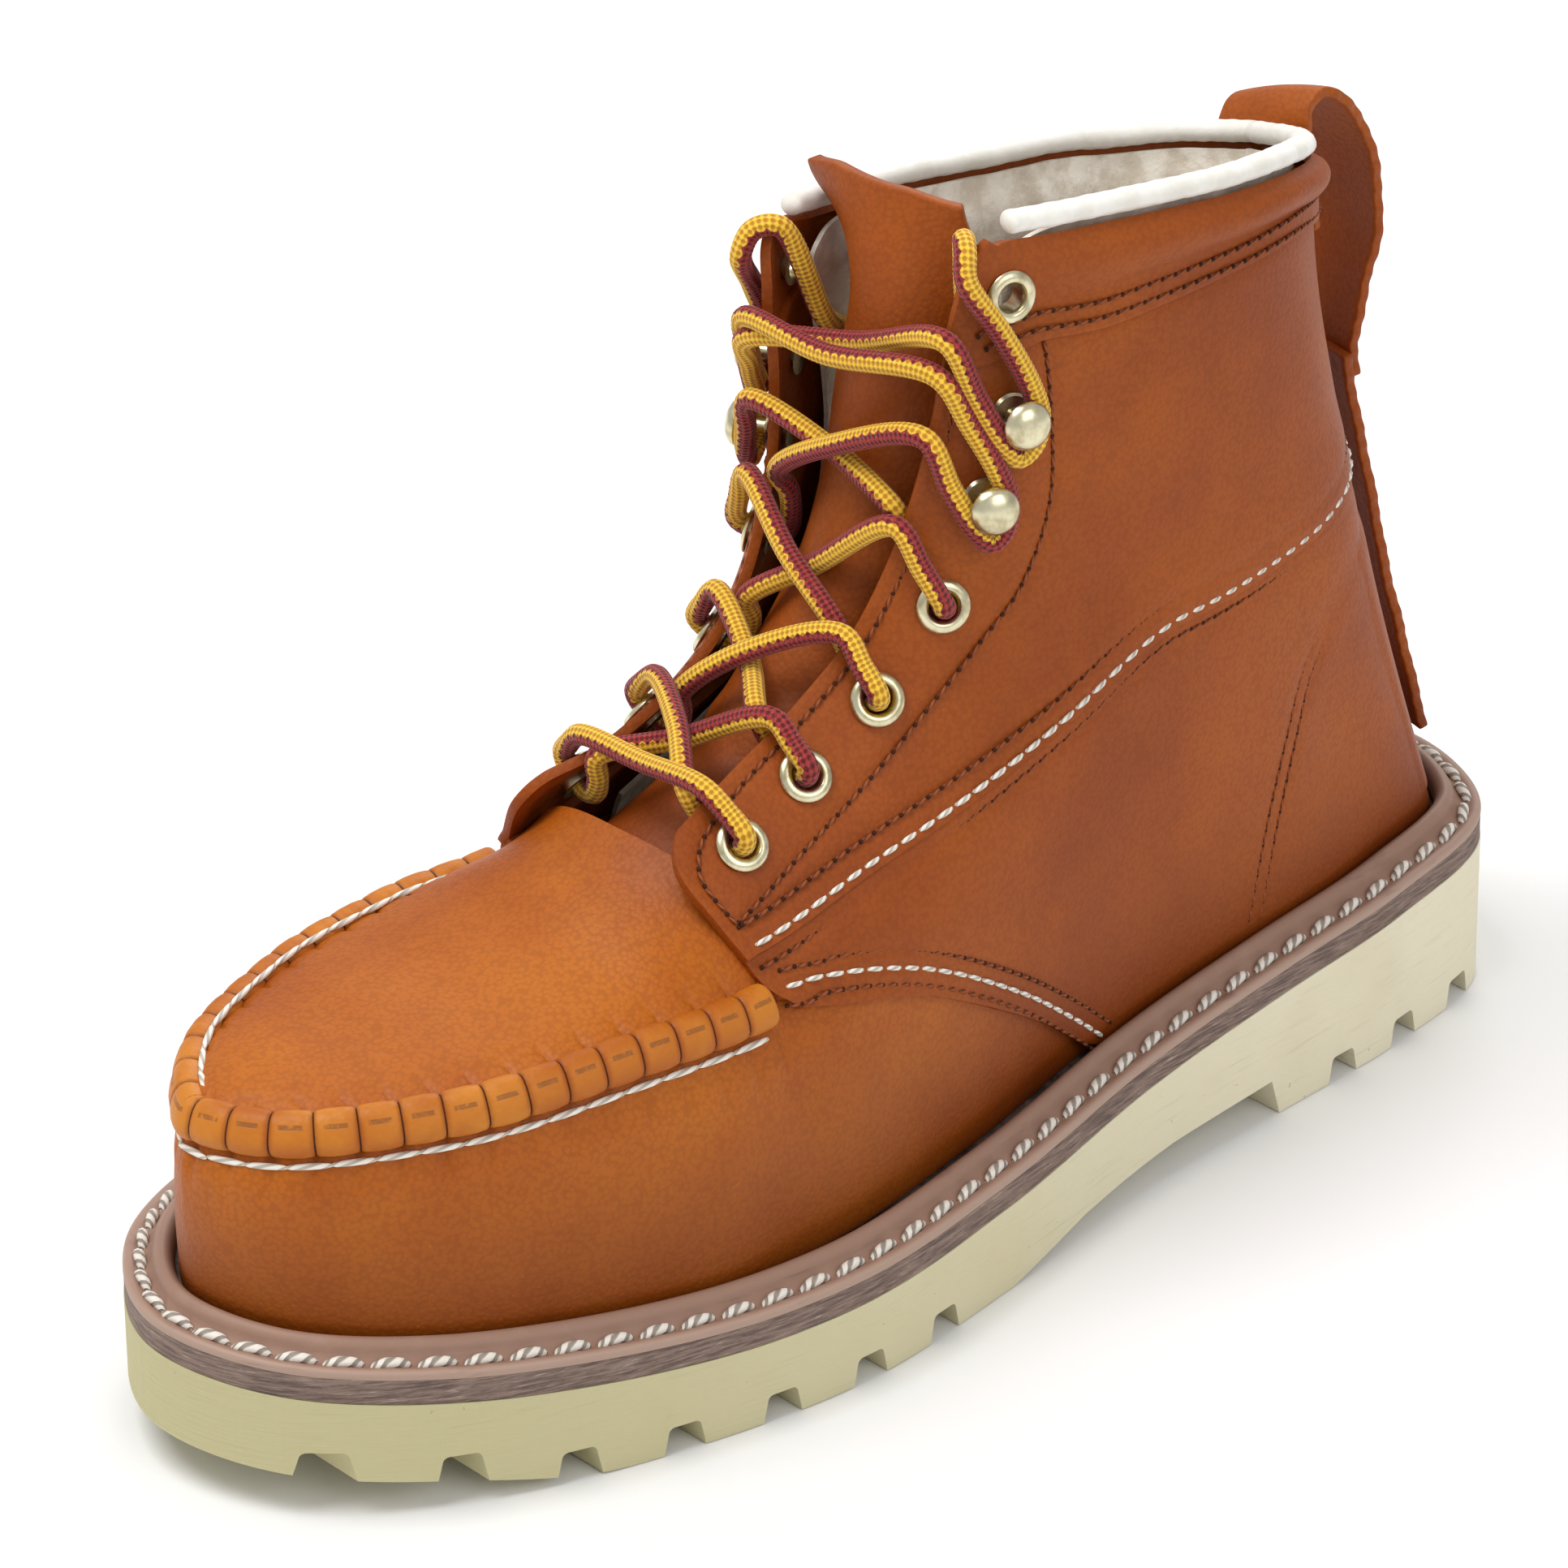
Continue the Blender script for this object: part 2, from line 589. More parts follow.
@dataclass(frozen=True)
class Stitch:
    """One stitch, modelled once and laid along seams.

    Attributes:
        pitch: distance from one stitch to the next.
        length: its own length.
        thick: its diameter.
        sides: faces round it.
        rows: faces along it.
        bow: how far its ends dip under its middle.
    """

    pitch: float
    length: float
    thick: float
    sides: int = 6
    rows: int = 6
    bow: float = 0.35

    def pattern(self) -> tuple[Points, list[list[int]], Points]:
        """Points, faces and map of one stitch along Z with its top towards Y."""
        Bench.clear()
        bpy.ops.mesh.primitive_uv_sphere_add(segments=self.sides, ring_count=self.rows, radius=1.0)
        ball = bpy.context.object
        points = Bench.read(ball)
        z = np.clip(points[:, 2], -1, 1)
        z = np.sign(z) * np.abs(z) ** 0.75
        flat = np.sqrt(np.maximum(1 - np.abs(z) ** 3.2, 0))
        size = np.maximum(np.hypot(points[:, 0], points[:, 1]), 1e-6)
        points[:, 0] *= flat / size * self.thick / 2
        points[:, 1] *= flat / size * self.thick / 2
        points[:, 1] -= z * z * self.bow * self.thick
        points[:, 2] = z * self.length / 2
        faces = [list(face.vertices) for face in ball.data.polygons]
        flat_uv = np.empty(len(ball.data.uv_layers.active.data) * 2)
        ball.data.uv_layers.active.data.foreach_get("uv", flat_uv)
        Bench.discard(ball)
        return points, faces, flat_uv.reshape(-1, 2)

    def along(self, line: Points, up: Points, lean: float = 0.0) -> Points:
        """Frames of the stitches on a seam.

        Args:
            line: fine points of the seam.
            up: outward direction at each.
            lean: turn of each stitch about the outward direction, in degrees.

        Returns:
            An array of 3 by 4 frames: side, up, along and place.
        """
        count = max(3, 2 * round(length_of(line) / self.pitch) + 1)
        both = resampled(np.concatenate([line, up], axis=1), count)
        here, out = both[1::2, :3], unit(both[1::2, 3:])
        way = unit(both[2::2, :3] - both[:-1:2, :3])
        side = unit(np.cross(out, way))
        if lean:
            c, s = math.cos(math.radians(lean)), math.sin(math.radians(lean))
            side, way = side * c - way * s, side * s + way * c
        return np.stack([side, np.cross(way, side), way, here], axis=1)

    def sew(self, name: str, frames: Sequence[Points]) -> bpy.types.Object:
        """Lays the stitch at every frame, as one piece."""
        points, faces, uv = self.pattern()
        every = np.concatenate(frames)
        laid = np.einsum("vk,nkj->nvj", points, every[:, :3]) + every[:, None, 3]
        count = len(points)
        mesh = bpy.data.meshes.new(name)
        all_faces = [[i + count * n for i in face] for n in range(len(every)) for face in faces]
        mesh.from_pydata(((laid.reshape(-1, 3) + SHIFT) * MM).tolist(), [], all_faces)
        layer = mesh.uv_layers.new(name="UVMap")
        layer.data.foreach_set("uv", np.tile(uv, (len(every), 1)).ravel())
        piece = bpy.data.objects.new(name, mesh)
        bpy.context.scene.collection.objects.link(piece)
        Bench.close(piece)
        Bench.soften(piece, 180)
        return piece


def hand_over(
    piece: bpy.types.Object, body: str, slot: str, finishes: Sequence[bpy.types.Material], *nodes: str
) -> bpy.types.Object:
    """Dresses a piece, lets it ride on its body and names what it stands for."""
    piece.data.materials.clear()
    for finish in finishes:
        piece.data.materials.append(finish)
    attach(piece, body)
    if nodes:
        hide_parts(*nodes)
    LOG.info("%s on %s: %d faces", piece.name, body, len(piece.data.polygons))
    return piece


def srgb(red: float, green: float, blue: float) -> tuple[float, float, float, float]:
    """Colour from 0 to 255 as the shader wants it."""
    def linear(value: float) -> float:
        """One channel."""
        c = value / 255
        return c / 12.92 if c <= 0.04045 else ((c + 0.055) / 1.055) ** 2.4

    return linear(red), linear(green), linear(blue), 1.0


class Socket:
    """Output of a shader node that adds up like a number."""

    def __init__(self, shader: "Shader", output: bpy.types.NodeSocket) -> None:
        """Keeps the shader that new nodes go into and the output."""
        self.shader = shader
        self.output = output

    def _do(self, operation: str, *terms: "Socket | float", clamp: bool = False) -> "Socket":
        """Adds a Math node."""
        settings = {"operation": operation, "use_clamp": clamp}
        return self.shader.node("ShaderNodeMath", settings, dict(enumerate(terms)))

    def __add__(self, other: "Socket | float") -> "Socket":
        """Sum."""
        return self._do("ADD", self, other)

    __radd__ = __add__

    def __sub__(self, other: "Socket | float") -> "Socket":
        """Difference."""
        return self._do("SUBTRACT", self, other)

    def __rsub__(self, other: float) -> "Socket":
        """Difference from a number."""
        return self._do("SUBTRACT", other, self)

    def __mul__(self, other: "Socket | float") -> "Socket":
        """Product."""
        return self._do("MULTIPLY", self, other)

    __rmul__ = __mul__

    def __truediv__(self, other: "Socket | float") -> "Socket":
        """Quotient."""
        return self._do("DIVIDE", self, other)

    def __gt__(self, other: "Socket | float") -> "Socket":
        """1 where it is greater."""
        return self._do("GREATER_THAN", self, other)

    def sine(self) -> "Socket":
        """Sine."""
        return self._do("SINE", self)

    def wrapped(self, size: float = 1.0) -> "Socket":
        """Remainder between 0 and a size."""
        return self._do("WRAP", self, size, 0.0)

    def size(self) -> "Socket":
        """Distance from zero."""
        return self._do("ABSOLUTE", self)

    def between(self, low: float, high: float) -> "Socket":
        """Soft step from 0 at low to 1 at high."""
        return self.shader.node(
            "ShaderNodeMapRange", {"interpolation_type": "SMOOTHSTEP"},
            {0: self, 1: low, 2: high, 3: 0.0, 4: 1.0},
        )


class Shader:
    """Material under construction."""

    def __init__(self, name: str) -> None:
        """Starts an empty material with a Principled shader."""
        self.material = bpy.data.materials.new(name)
        self.material.use_nodes = True
        self.tree = self.material.node_tree
        self.tree.nodes.clear()
        self.surface = self.tree.nodes.new("ShaderNodeBsdfPrincipled")
        out = self.tree.nodes.new("ShaderNodeOutputMaterial")
        self.tree.links.new(self.surface.outputs[0], out.inputs[0])
        self.room = self.node("ShaderNodeTexCoord", {}, {}, "Object")

    def node(
        self, kind: str, settings: dict[str, object], inputs: dict[str | int, object],
        output: str | int = 0,
    ) -> Socket:
        """Adds a node.

        Args:
            kind: its type.
            settings: its properties, set before its sockets; "stops" fills a colour ramp.
            inputs: values or sockets for its inputs.
            output: which output is returned.

        Returns:
            That output.
        """
        new = self.tree.nodes.new(kind)
        for name, value in settings.items():
            if name == "stops":
                ramp = new.color_ramp
                while len(ramp.elements) < len(value):
                    ramp.elements.new(0.5)
                for element, (at, colour) in zip(ramp.elements, value):
                    element.position, element.color = at, colour
            else:
                setattr(new, name, value)
        for name, value in inputs.items():
            self.feed(new.inputs[name], value)
        return Socket(self, new.outputs[output])

    def feed(self, entry: bpy.types.NodeSocket, value: object) -> None:
        """Links or sets one input."""
        if isinstance(value, Socket):
            self.tree.links.new(value.output, entry)
        else:
            entry.default_value = value

    def set(self, **values: object) -> None:
        """Sets or links inputs of the surface; an underscore stands for a space."""
        for name, value in values.items():
            self.feed(self.surface.inputs[name.replace("_", " ")], value)

    def scaled(self, scale: tuple[float, float, float], source: Socket | None = None) -> Socket:
        """Coordinates stretched along each axis."""
        return self.node("ShaderNodeMapping", {}, {0: source or self.room, 3: scale})

    def noise(
        self, scale: float, detail: float = 3.0, rough: float = 0.5, source: Socket | None = None
    ) -> Socket:
        """Noise of that many swells a metre, or a unit of the source."""
        return self.node(
            "ShaderNodeTexNoise", {},
            {"Vector": source or self.room, "Scale": scale, "Detail": detail, "Roughness": rough},
        )

    def cells(self, scale: float, source: Socket | None = None) -> Socket:
        """Distance to the nearest cell centre."""
        return self.node("ShaderNodeTexVoronoi", {}, {"Vector": source or self.room, "Scale": scale})

    def mix(self, factor: Socket | float, a: object, b: object) -> Socket:
        """Colour between a and b."""
        return self.node("ShaderNodeMix", {"data_type": "RGBA"}, {0: factor, 6: a, 7: b}, 2)

    def map(self) -> tuple[Socket, Socket]:
        """The piece's own map, along and round."""
        uv = self.node("ShaderNodeUVMap", {"uv_map": "UVMap"}, {})
        split = self.node("ShaderNodeSeparateXYZ", {}, {0: uv})
        return split, Socket(self, split.output.node.outputs[1])

    def axes(self) -> tuple[Socket, Socket, Socket]:
        """The piece's own X, Y and Z."""
        split = self.node("ShaderNodeSeparateXYZ", {}, {0: self.room})
        outputs = split.output.node.outputs
        return split, Socket(self, outputs[1]), Socket(self, outputs[2])

    def relief(self, height: Socket, depth: float, strength: float = 1.0) -> None:
        """Bumps the surface by a height between 0 and 1, to a depth in metres."""
        bump = self.node("ShaderNodeBump", {}, {"Strength": strength, "Distance": depth, "Height": height})
        self.set(Normal=bump)


@dataclass(frozen=True)
class Hide:
    """Oiled full-grain leather.

    Attributes:
        base: its colour.
        light: colour where it is pulled up.
        dark: colour in its hollows.
        gloss: roughness of the grain side.
        grain: depth of the pebble grain, in metres.
    """

    name: str
    base: tuple[float, ...]
    light: tuple[float, ...]
    dark: tuple[float, ...]
    gloss: float = 0.46
    grain: float = 0.00006

    def make(self) -> bpy.types.Material:
        """Builds the material."""
        sh = Shader(self.name)
        _, _, height = sh.axes()
        cloud = sh.noise(16, 4, 0.55)
        patch = sh.noise(42, 5, 0.6)
        fleck = sh.noise(900, 2, 0.6)
        pebble = sh.cells(1050)
        crease = sh.noise(480, 4, 0.7)
        lit = (cloud * 0.75 + patch * 0.4).between(0.42, 0.78)
        dim = (1 - height.between(0.026, 0.066)) * 0.6 + (1 - cloud).between(0.45, 0.8) * 0.45
        colour = sh.mix(lit * 0.7, self.base, self.light)
        colour = sh.mix(dim, colour, self.dark)
        colour = sh.mix(pebble.between(0.35, 0.75) * 0.22, colour, self.dark)
        colour = sh.mix(fleck.between(0.66, 0.8) * 0.35, colour, self.light)
        sh.set(Base_Color=colour, Roughness=self.gloss + (patch - 0.5) * 0.16 + pebble * 0.06)
        sh.set(Specular_IOR_Level=0.26)
        sh.relief((1 - pebble) * 0.55 + crease * 0.5 + fleck * 0.15, self.grain * 2.4)
        return sh.material


@dataclass(frozen=True)
class Suede:
    """Raw cut edge and flesh side."""

    name: str = "golden_suede"
    base: tuple[float, ...] = srgb(150, 98, 28)
    light: tuple[float, ...] = srgb(186, 138, 62)
    dark: tuple[float, ...] = srgb(92, 50, 10)

    def make(self) -> bpy.types.Material:
        """Builds the material."""
        sh = Shader(self.name)
        tuft = sh.noise(1400, 4, 0.75)
        clump = sh.noise(420, 3, 0.6)
        colour = sh.mix(tuft.between(0.4, 0.66), self.dark, self.base)
        colour = sh.mix(clump.between(0.45, 0.72) * 0.75, colour, self.light)
        sh.set(Base_Color=colour, Roughness=0.95, Specular_IOR_Level=0.15)
        sh.set(Sheen_Weight=0.35, Sheen_Roughness=0.5, Sheen_Tint=srgb(220, 180, 120))
        sh.relief(tuft * 0.7 + clump * 0.6, 0.0006)
        return sh.material


@dataclass(frozen=True)
class GatheredHide:
    """Leather of the rolled toe seam, with its pinch lines and needle marks, on a map that counts gathers."""

    name: str = "gathered_leather"
    hide: Hide = field(default_factory=lambda: Hide(
        "bead", srgb(170, 88, 12), srgb(198, 122, 34), srgb(104, 44, 6)))

    def make(self) -> bpy.types.Material:
        """Builds the material."""
        sh = Shader(self.name)
        u, v = sh.map()
        pebble = sh.cells(1050)
        cloud = sh.noise(60, 4, 0.6)
        scuff = sh.noise(700, 3, 0.7)
        near = (u.wrapped() - 0.5).size()
        groove = near.between(0.468, 0.494)
        crown = (v - 0.25).size()
        wear = (1 - crown.between(0.02, 0.17)) * (1 - near.between(0.3, 0.46))
        dash = (1 - near.between(0.24, 0.29)) * (1 - (v - 0.292).size().between(0.012, 0.02))
        dash = dash * scuff.between(0.3, 0.52)
        colour = sh.mix(cloud.between(0.35, 0.7), self.hide.base, self.hide.light)
        colour = sh.mix(wear * 0.45, colour, self.hide.light)
        colour = sh.mix(near.between(0.36, 0.5) * 0.35, colour, self.hide.dark)
        colour = sh.mix(dash * 0.6, colour, srgb(112, 66, 34))
        colour = sh.mix(groove, colour, srgb(74, 34, 12))
        sh.set(Base_Color=colour, Roughness=0.42 + scuff * 0.14 + groove * 0.25, Specular_IOR_Level=0.3)
        sh.relief((1 - pebble) * 0.5 + scuff * 0.4 - dash * 0.5, 0.00014)
        return sh.material


@dataclass(frozen=True)
class Thread:
    """Twisted sewing thread, on the stitch's own map."""

    name: str
    colour: tuple[float, ...]
    shade: tuple[float, ...]
    turns: float = 3.0
    depth: float = 0.00012

    def make(self) -> bpy.types.Material:
        """Builds the material."""
        sh = Shader(self.name)
        u, v = sh.map()
        ply = ((u * 2 + v * self.turns) * (2 * math.pi)).sine()
        fuzz = sh.noise(2600, 2, 0.7)
        twist = ply.between(-0.95, 0.1)
        colour = sh.mix(twist * 0.8 + fuzz * 0.2, self.shade, self.colour)
        sh.set(Base_Color=colour, Roughness=0.62 + fuzz * 0.2, Specular_IOR_Level=0.35)
        sh.relief(twist + fuzz * 0.2, self.depth)
        return sh.material


@dataclass(frozen=True)
class Crepe:
    """Cream wedge sole rubber, sanded along its side."""

    name: str = "cream_sole_rubber"

    def make(self) -> bpy.types.Material:
        """Builds the material."""
        sh = Shader(self.name)
        _, y, _ = sh.axes()
        sanding = sh.noise(1, 4, 0.7, sh.scaled((55, 55, 1500)))
        wide = sh.noise(1, 3, 0.6, sh.scaled((22, 22, 380)))
        cloud = sh.noise(30, 3, 0.5)
        speck = sh.noise(650, 2, 0.5)
        back = y.between(-0.15, 0.13)
        colour = sh.mix(back, srgb(192, 184, 142), srgb(230, 222, 196))
        colour = sh.mix(sanding.between(0.55, 0.75) * 0.28, colour, srgb(176, 164, 116))
        colour = sh.mix(cloud.between(0.5, 0.75) * 0.18, colour, srgb(190, 178, 132))
        colour = sh.mix(speck.between(0.74, 0.8) * 0.5, colour, srgb(140, 126, 96))
        sh.set(Base_Color=colour, Roughness=0.66 + sanding * 0.2, Specular_IOR_Level=0.3)
        sh.set(Subsurface_Weight=0.06, Subsurface_Radius=(0.004, 0.003, 0.002), Subsurface_Scale=1.0)
        sh.relief(sanding * 0.8 + wide * 0.5, 0.00022)
        return sh.material


@dataclass(frozen=True)
class TrimmedRubber:
    """Brown layer whose trimmed side shows fine slanting streaks."""

    name: str = "brown_midsole_rubber"

    def make(self) -> bpy.types.Material:
        """Builds the material."""
        sh = Shader(self.name)
        lie = sh.node("ShaderNodeMapping", {}, {0: sh.room, 2: (0.16, 0.22, 0.0), 3: (120, 120, 1900)})
        streak = sh.noise(1, 5, 0.75, lie)
        fine = sh.noise(1, 2, 0.6, sh.scaled((300, 300, 3800)))
        cloud = sh.noise(40, 3, 0.6)
        colour = sh.mix(streak.between(0.36, 0.6), srgb(92, 74, 68), srgb(140, 118, 106))
        colour = sh.mix((streak * 0.6 + fine * 0.5).between(0.62, 0.74) * 0.8, colour, srgb(190, 172, 158))
        colour = sh.mix(cloud.between(0.55, 0.75) * 0.3, colour, srgb(110, 82, 64))
        sh.set(Base_Color=colour, Roughness=0.55 + streak * 0.25, Specular_IOR_Level=0.4)
        sh.relief(streak * 0.7 + fine * 0.5, 0.0003)
        return sh.material


@dataclass(frozen=True)
class WeltRubber:
    """Moulded welt: dusty ledge, darker rib, on a map that runs round its section."""

    name: str = "welt_rubber"

    def make(self) -> bpy.types.Material:
        """Builds the material."""
        sh = Shader(self.name)
        _, v = sh.map()
        drag = sh.noise(1, 4, 0.6, sh.scaled((60, 60, 700)))
        dust = sh.noise(90, 5, 0.7)
        lip = 1 - v.between(0.05, 0.13)
        rib = v.between(0.4, 0.56)
        colour = sh.mix(rib, srgb(150, 116, 98), srgb(112, 82, 68))
        colour = sh.mix(lip * 0.7, colour, srgb(176, 150, 134))
        colour = sh.mix(dust.between(0.5, 0.75) * 0.3, colour, srgb(172, 142, 124))
        colour = sh.mix(drag.between(0.58, 0.72) * 0.25, colour, srgb(84, 58, 48))
        sh.set(Base_Color=colour, Roughness=0.44 + dust * 0.2, Specular_IOR_Level=0.45)
        sh.relief(drag * 0.6 + dust * 0.3, 0.00012)
        return sh.material


@dataclass(frozen=True)
class Braid:
    """Round two-colour braid, on a map whose length counts plaits."""

    name: str = "braided_lace"

    def make(self) -> bpy.types.Material:
        """Builds the material."""
        sh = Shader(self.name)
        u, v = sh.map()
        tooth = (u.wrapped() - 0.5).size() * 0.13
        turn = (sh.noise(0.03, 1, 0.4, sh.node("ShaderNodeCombineXYZ", {}, {0: u})) - 0.5) * 0.45
        half = ((v + tooth + turn).wrapped() - 0.25).size()
        gold = 1 - half.between(0.235, 0.265)
        slant_a = ((u + v * 5) * (2 * math.pi)).sine()
        slant_b = ((u - v * 5) * (2 * math.pi)).sine()
        plait = (slant_a * slant_b).between(-0.9, 0.55)
        fibre = sh.noise(2300, 3, 0.7)
        yellow = sh.mix(plait, srgb(186, 120, 16), srgb(240, 196, 62))
        red = sh.mix(plait, srgb(84, 16, 20), srgb(160, 48, 50))
        colour = sh.mix(gold, red, yellow)
        colour = sh.mix(fibre.between(0.55, 0.8) * 0.25, colour, srgb(250, 226, 150))
        sh.set(Base_Color=colour, Roughness=0.7, Specular_IOR_Level=0.3)
        sh.set(Sheen_Weight=0.2, Sheen_Roughness=0.4)
        sh.relief(plait + fibre * 0.25, 0.00028)
        return sh.material


@dataclass(frozen=True)
class SoftCloth:
    """Brushed lining, cream and slightly creased."""

    name: str
    base: tuple[float, ...]
    shade: tuple[float, ...]
    crease: float = 0.0006
    rough: float = 0.9

    def make(self) -> bpy.types.Material:
        """Builds the material."""
        sh = Shader(self.name)
        nap = sh.noise(1900, 3, 0.7)
        fold = sh.noise(160, 4, 0.6)
        cloud = sh.noise(38, 3, 0.5)
        colour = sh.mix(fold.between(0.35, 0.62), self.shade, self.base)
        colour = sh.mix(cloud.between(0.55, 0.8) * 0.25, colour, self.shade)
        sh.set(Base_Color=colour, Roughness=self.rough + (nap - 0.5) * 0.1, Specular_IOR_Level=0.25)
        sh.set(Sheen_Weight=0.25, Sheen_Roughness=0.5)
        sh.relief(fold + nap * 0.18, self.crease)
        return sh.material


@dataclass(frozen=True)
class Plating:
    """Brass-nickel plate, or plain steel, with a little handling wear."""

    name: str = "brass_nickel"
    bright: tuple[float, ...] = srgb(226, 218, 184)
    dull: tuple[float, ...] = srgb(172, 160, 122)
    gloss: float = 0.2

    def make(self) -> bpy.types.Material:
        """Builds the material."""
        sh = Shader(self.name)
        wipe = sh.noise(1, 4, 0.7, sh.scaled((900, 900, 2600)))
        cloud = sh.noise(260, 3, 0.6)
        colour = sh.mix(cloud.between(0.4, 0.7) * 0.8, self.bright, self.dull)
        sh.set(Base_Color=colour, Metallic=1.0, Roughness=self.gloss + wipe * 0.1 + cloud * 0.08)
        sh.relief(wipe * 0.4 + cloud, 0.00003)
        return sh.material


@dataclass(frozen=True)
class Crumb:
    """Pressed board or cork, made of crumbs of two tones."""

    name: str
    base: tuple[float, ...]
    fleck: tuple[float, ...]
    size: float = 420

    def make(self) -> bpy.types.Material:
        """Builds the material."""
        sh = Shader(self.name)
        crumb = sh.cells(self.size)
        grit = sh.noise(self.size * 2.5, 3, 0.7)
        colour = sh.mix(crumb.between(0.3, 0.6), self.base, self.fleck)
        sh.set(Base_Color=colour, Roughness=0.85 + grit * 0.1, Specular_IOR_Level=0.2)
        sh.relief(crumb + grit * 0.4, 0.0004)
        return sh.material


@dataclass(frozen=True)
class PlainFloor:
    """Pale studio floor."""

    name: str = "studio_floor"

    def make(self) -> bpy.types.Material:
        """Builds the material."""
        sh = Shader(self.name)
        haze = sh.noise(3, 2, 0.4)
        sh.set(Base_Color=sh.mix(haze, (0.84, 0.84, 0.84, 1), (0.88, 0.88, 0.875, 1)), Roughness=0.7)
        sh.set(Specular_IOR_Level=0.2)
        return sh.material


class Finishes:
    """Every finish of the boot, made once."""

    def __init__(self) -> None:
        """Builds the materials."""
        warm = srgb(190, 108, 22)
        self.hide = Hide("tan_leather", srgb(164, 80, 8), warm, srgb(108, 44, 4)).make()
        self.neck = Hide(
            "quarter_leather", srgb(146, 66, 8), srgb(168, 86, 16), srgb(104, 42, 4), 0.52
        ).make()
        self.bead = GatheredHide().make()
        self.suede = Suede().make()
        self.brown = Thread("brown_thread", srgb(150, 78, 36), srgb(84, 36, 12), 2.0, 0.00006).make()
        self.white = Thread("white_thread", srgb(240, 236, 226), srgb(176, 166, 152), 3.0).make()
        self.rope = Thread("white_welt_cord", srgb(236, 230, 220), srgb(134, 120, 106), 4.5, 0.0003).make()
        self.hole = Hide("needle_hole", srgb(60, 26, 10), srgb(84, 40, 16), srgb(36, 14, 6), 0.8).make()
        self.crepe = Crepe().make()
        self.midsole = TrimmedRubber().make()
        self.welt = WeltRubber().make()
        self.braid = Braid().make()
        self.lining = SoftCloth("cream_lining", srgb(236, 229, 216), srgb(206, 194, 176)).make()
        self.footbed = SoftCloth("footbed_cloth", srgb(214, 202, 180), srgb(176, 160, 136), 0.0002).make()
        self.piping = SoftCloth("white_piping", srgb(238, 235, 228), srgb(226, 222, 212), 0.00022, 0.5).make()
        self.plate = Plating().make()
        self.steel = Plating("toe_cap_steel", srgb(176, 180, 186), srgb(130, 134, 140), 0.32).make()
        self.board = Crumb("insole_fibreboard", srgb(143, 122, 92), srgb(176, 154, 120)).make()
        self.cork = Crumb("cork", srgb(125, 91, 58), srgb(84, 54, 30), 300).make()
        self.tip = SoftCloth("lace_tip_film", srgb(216, 210, 196), srgb(190, 180, 160), 0.0001, 0.35).make()
        self.floor = PlainFloor().make()


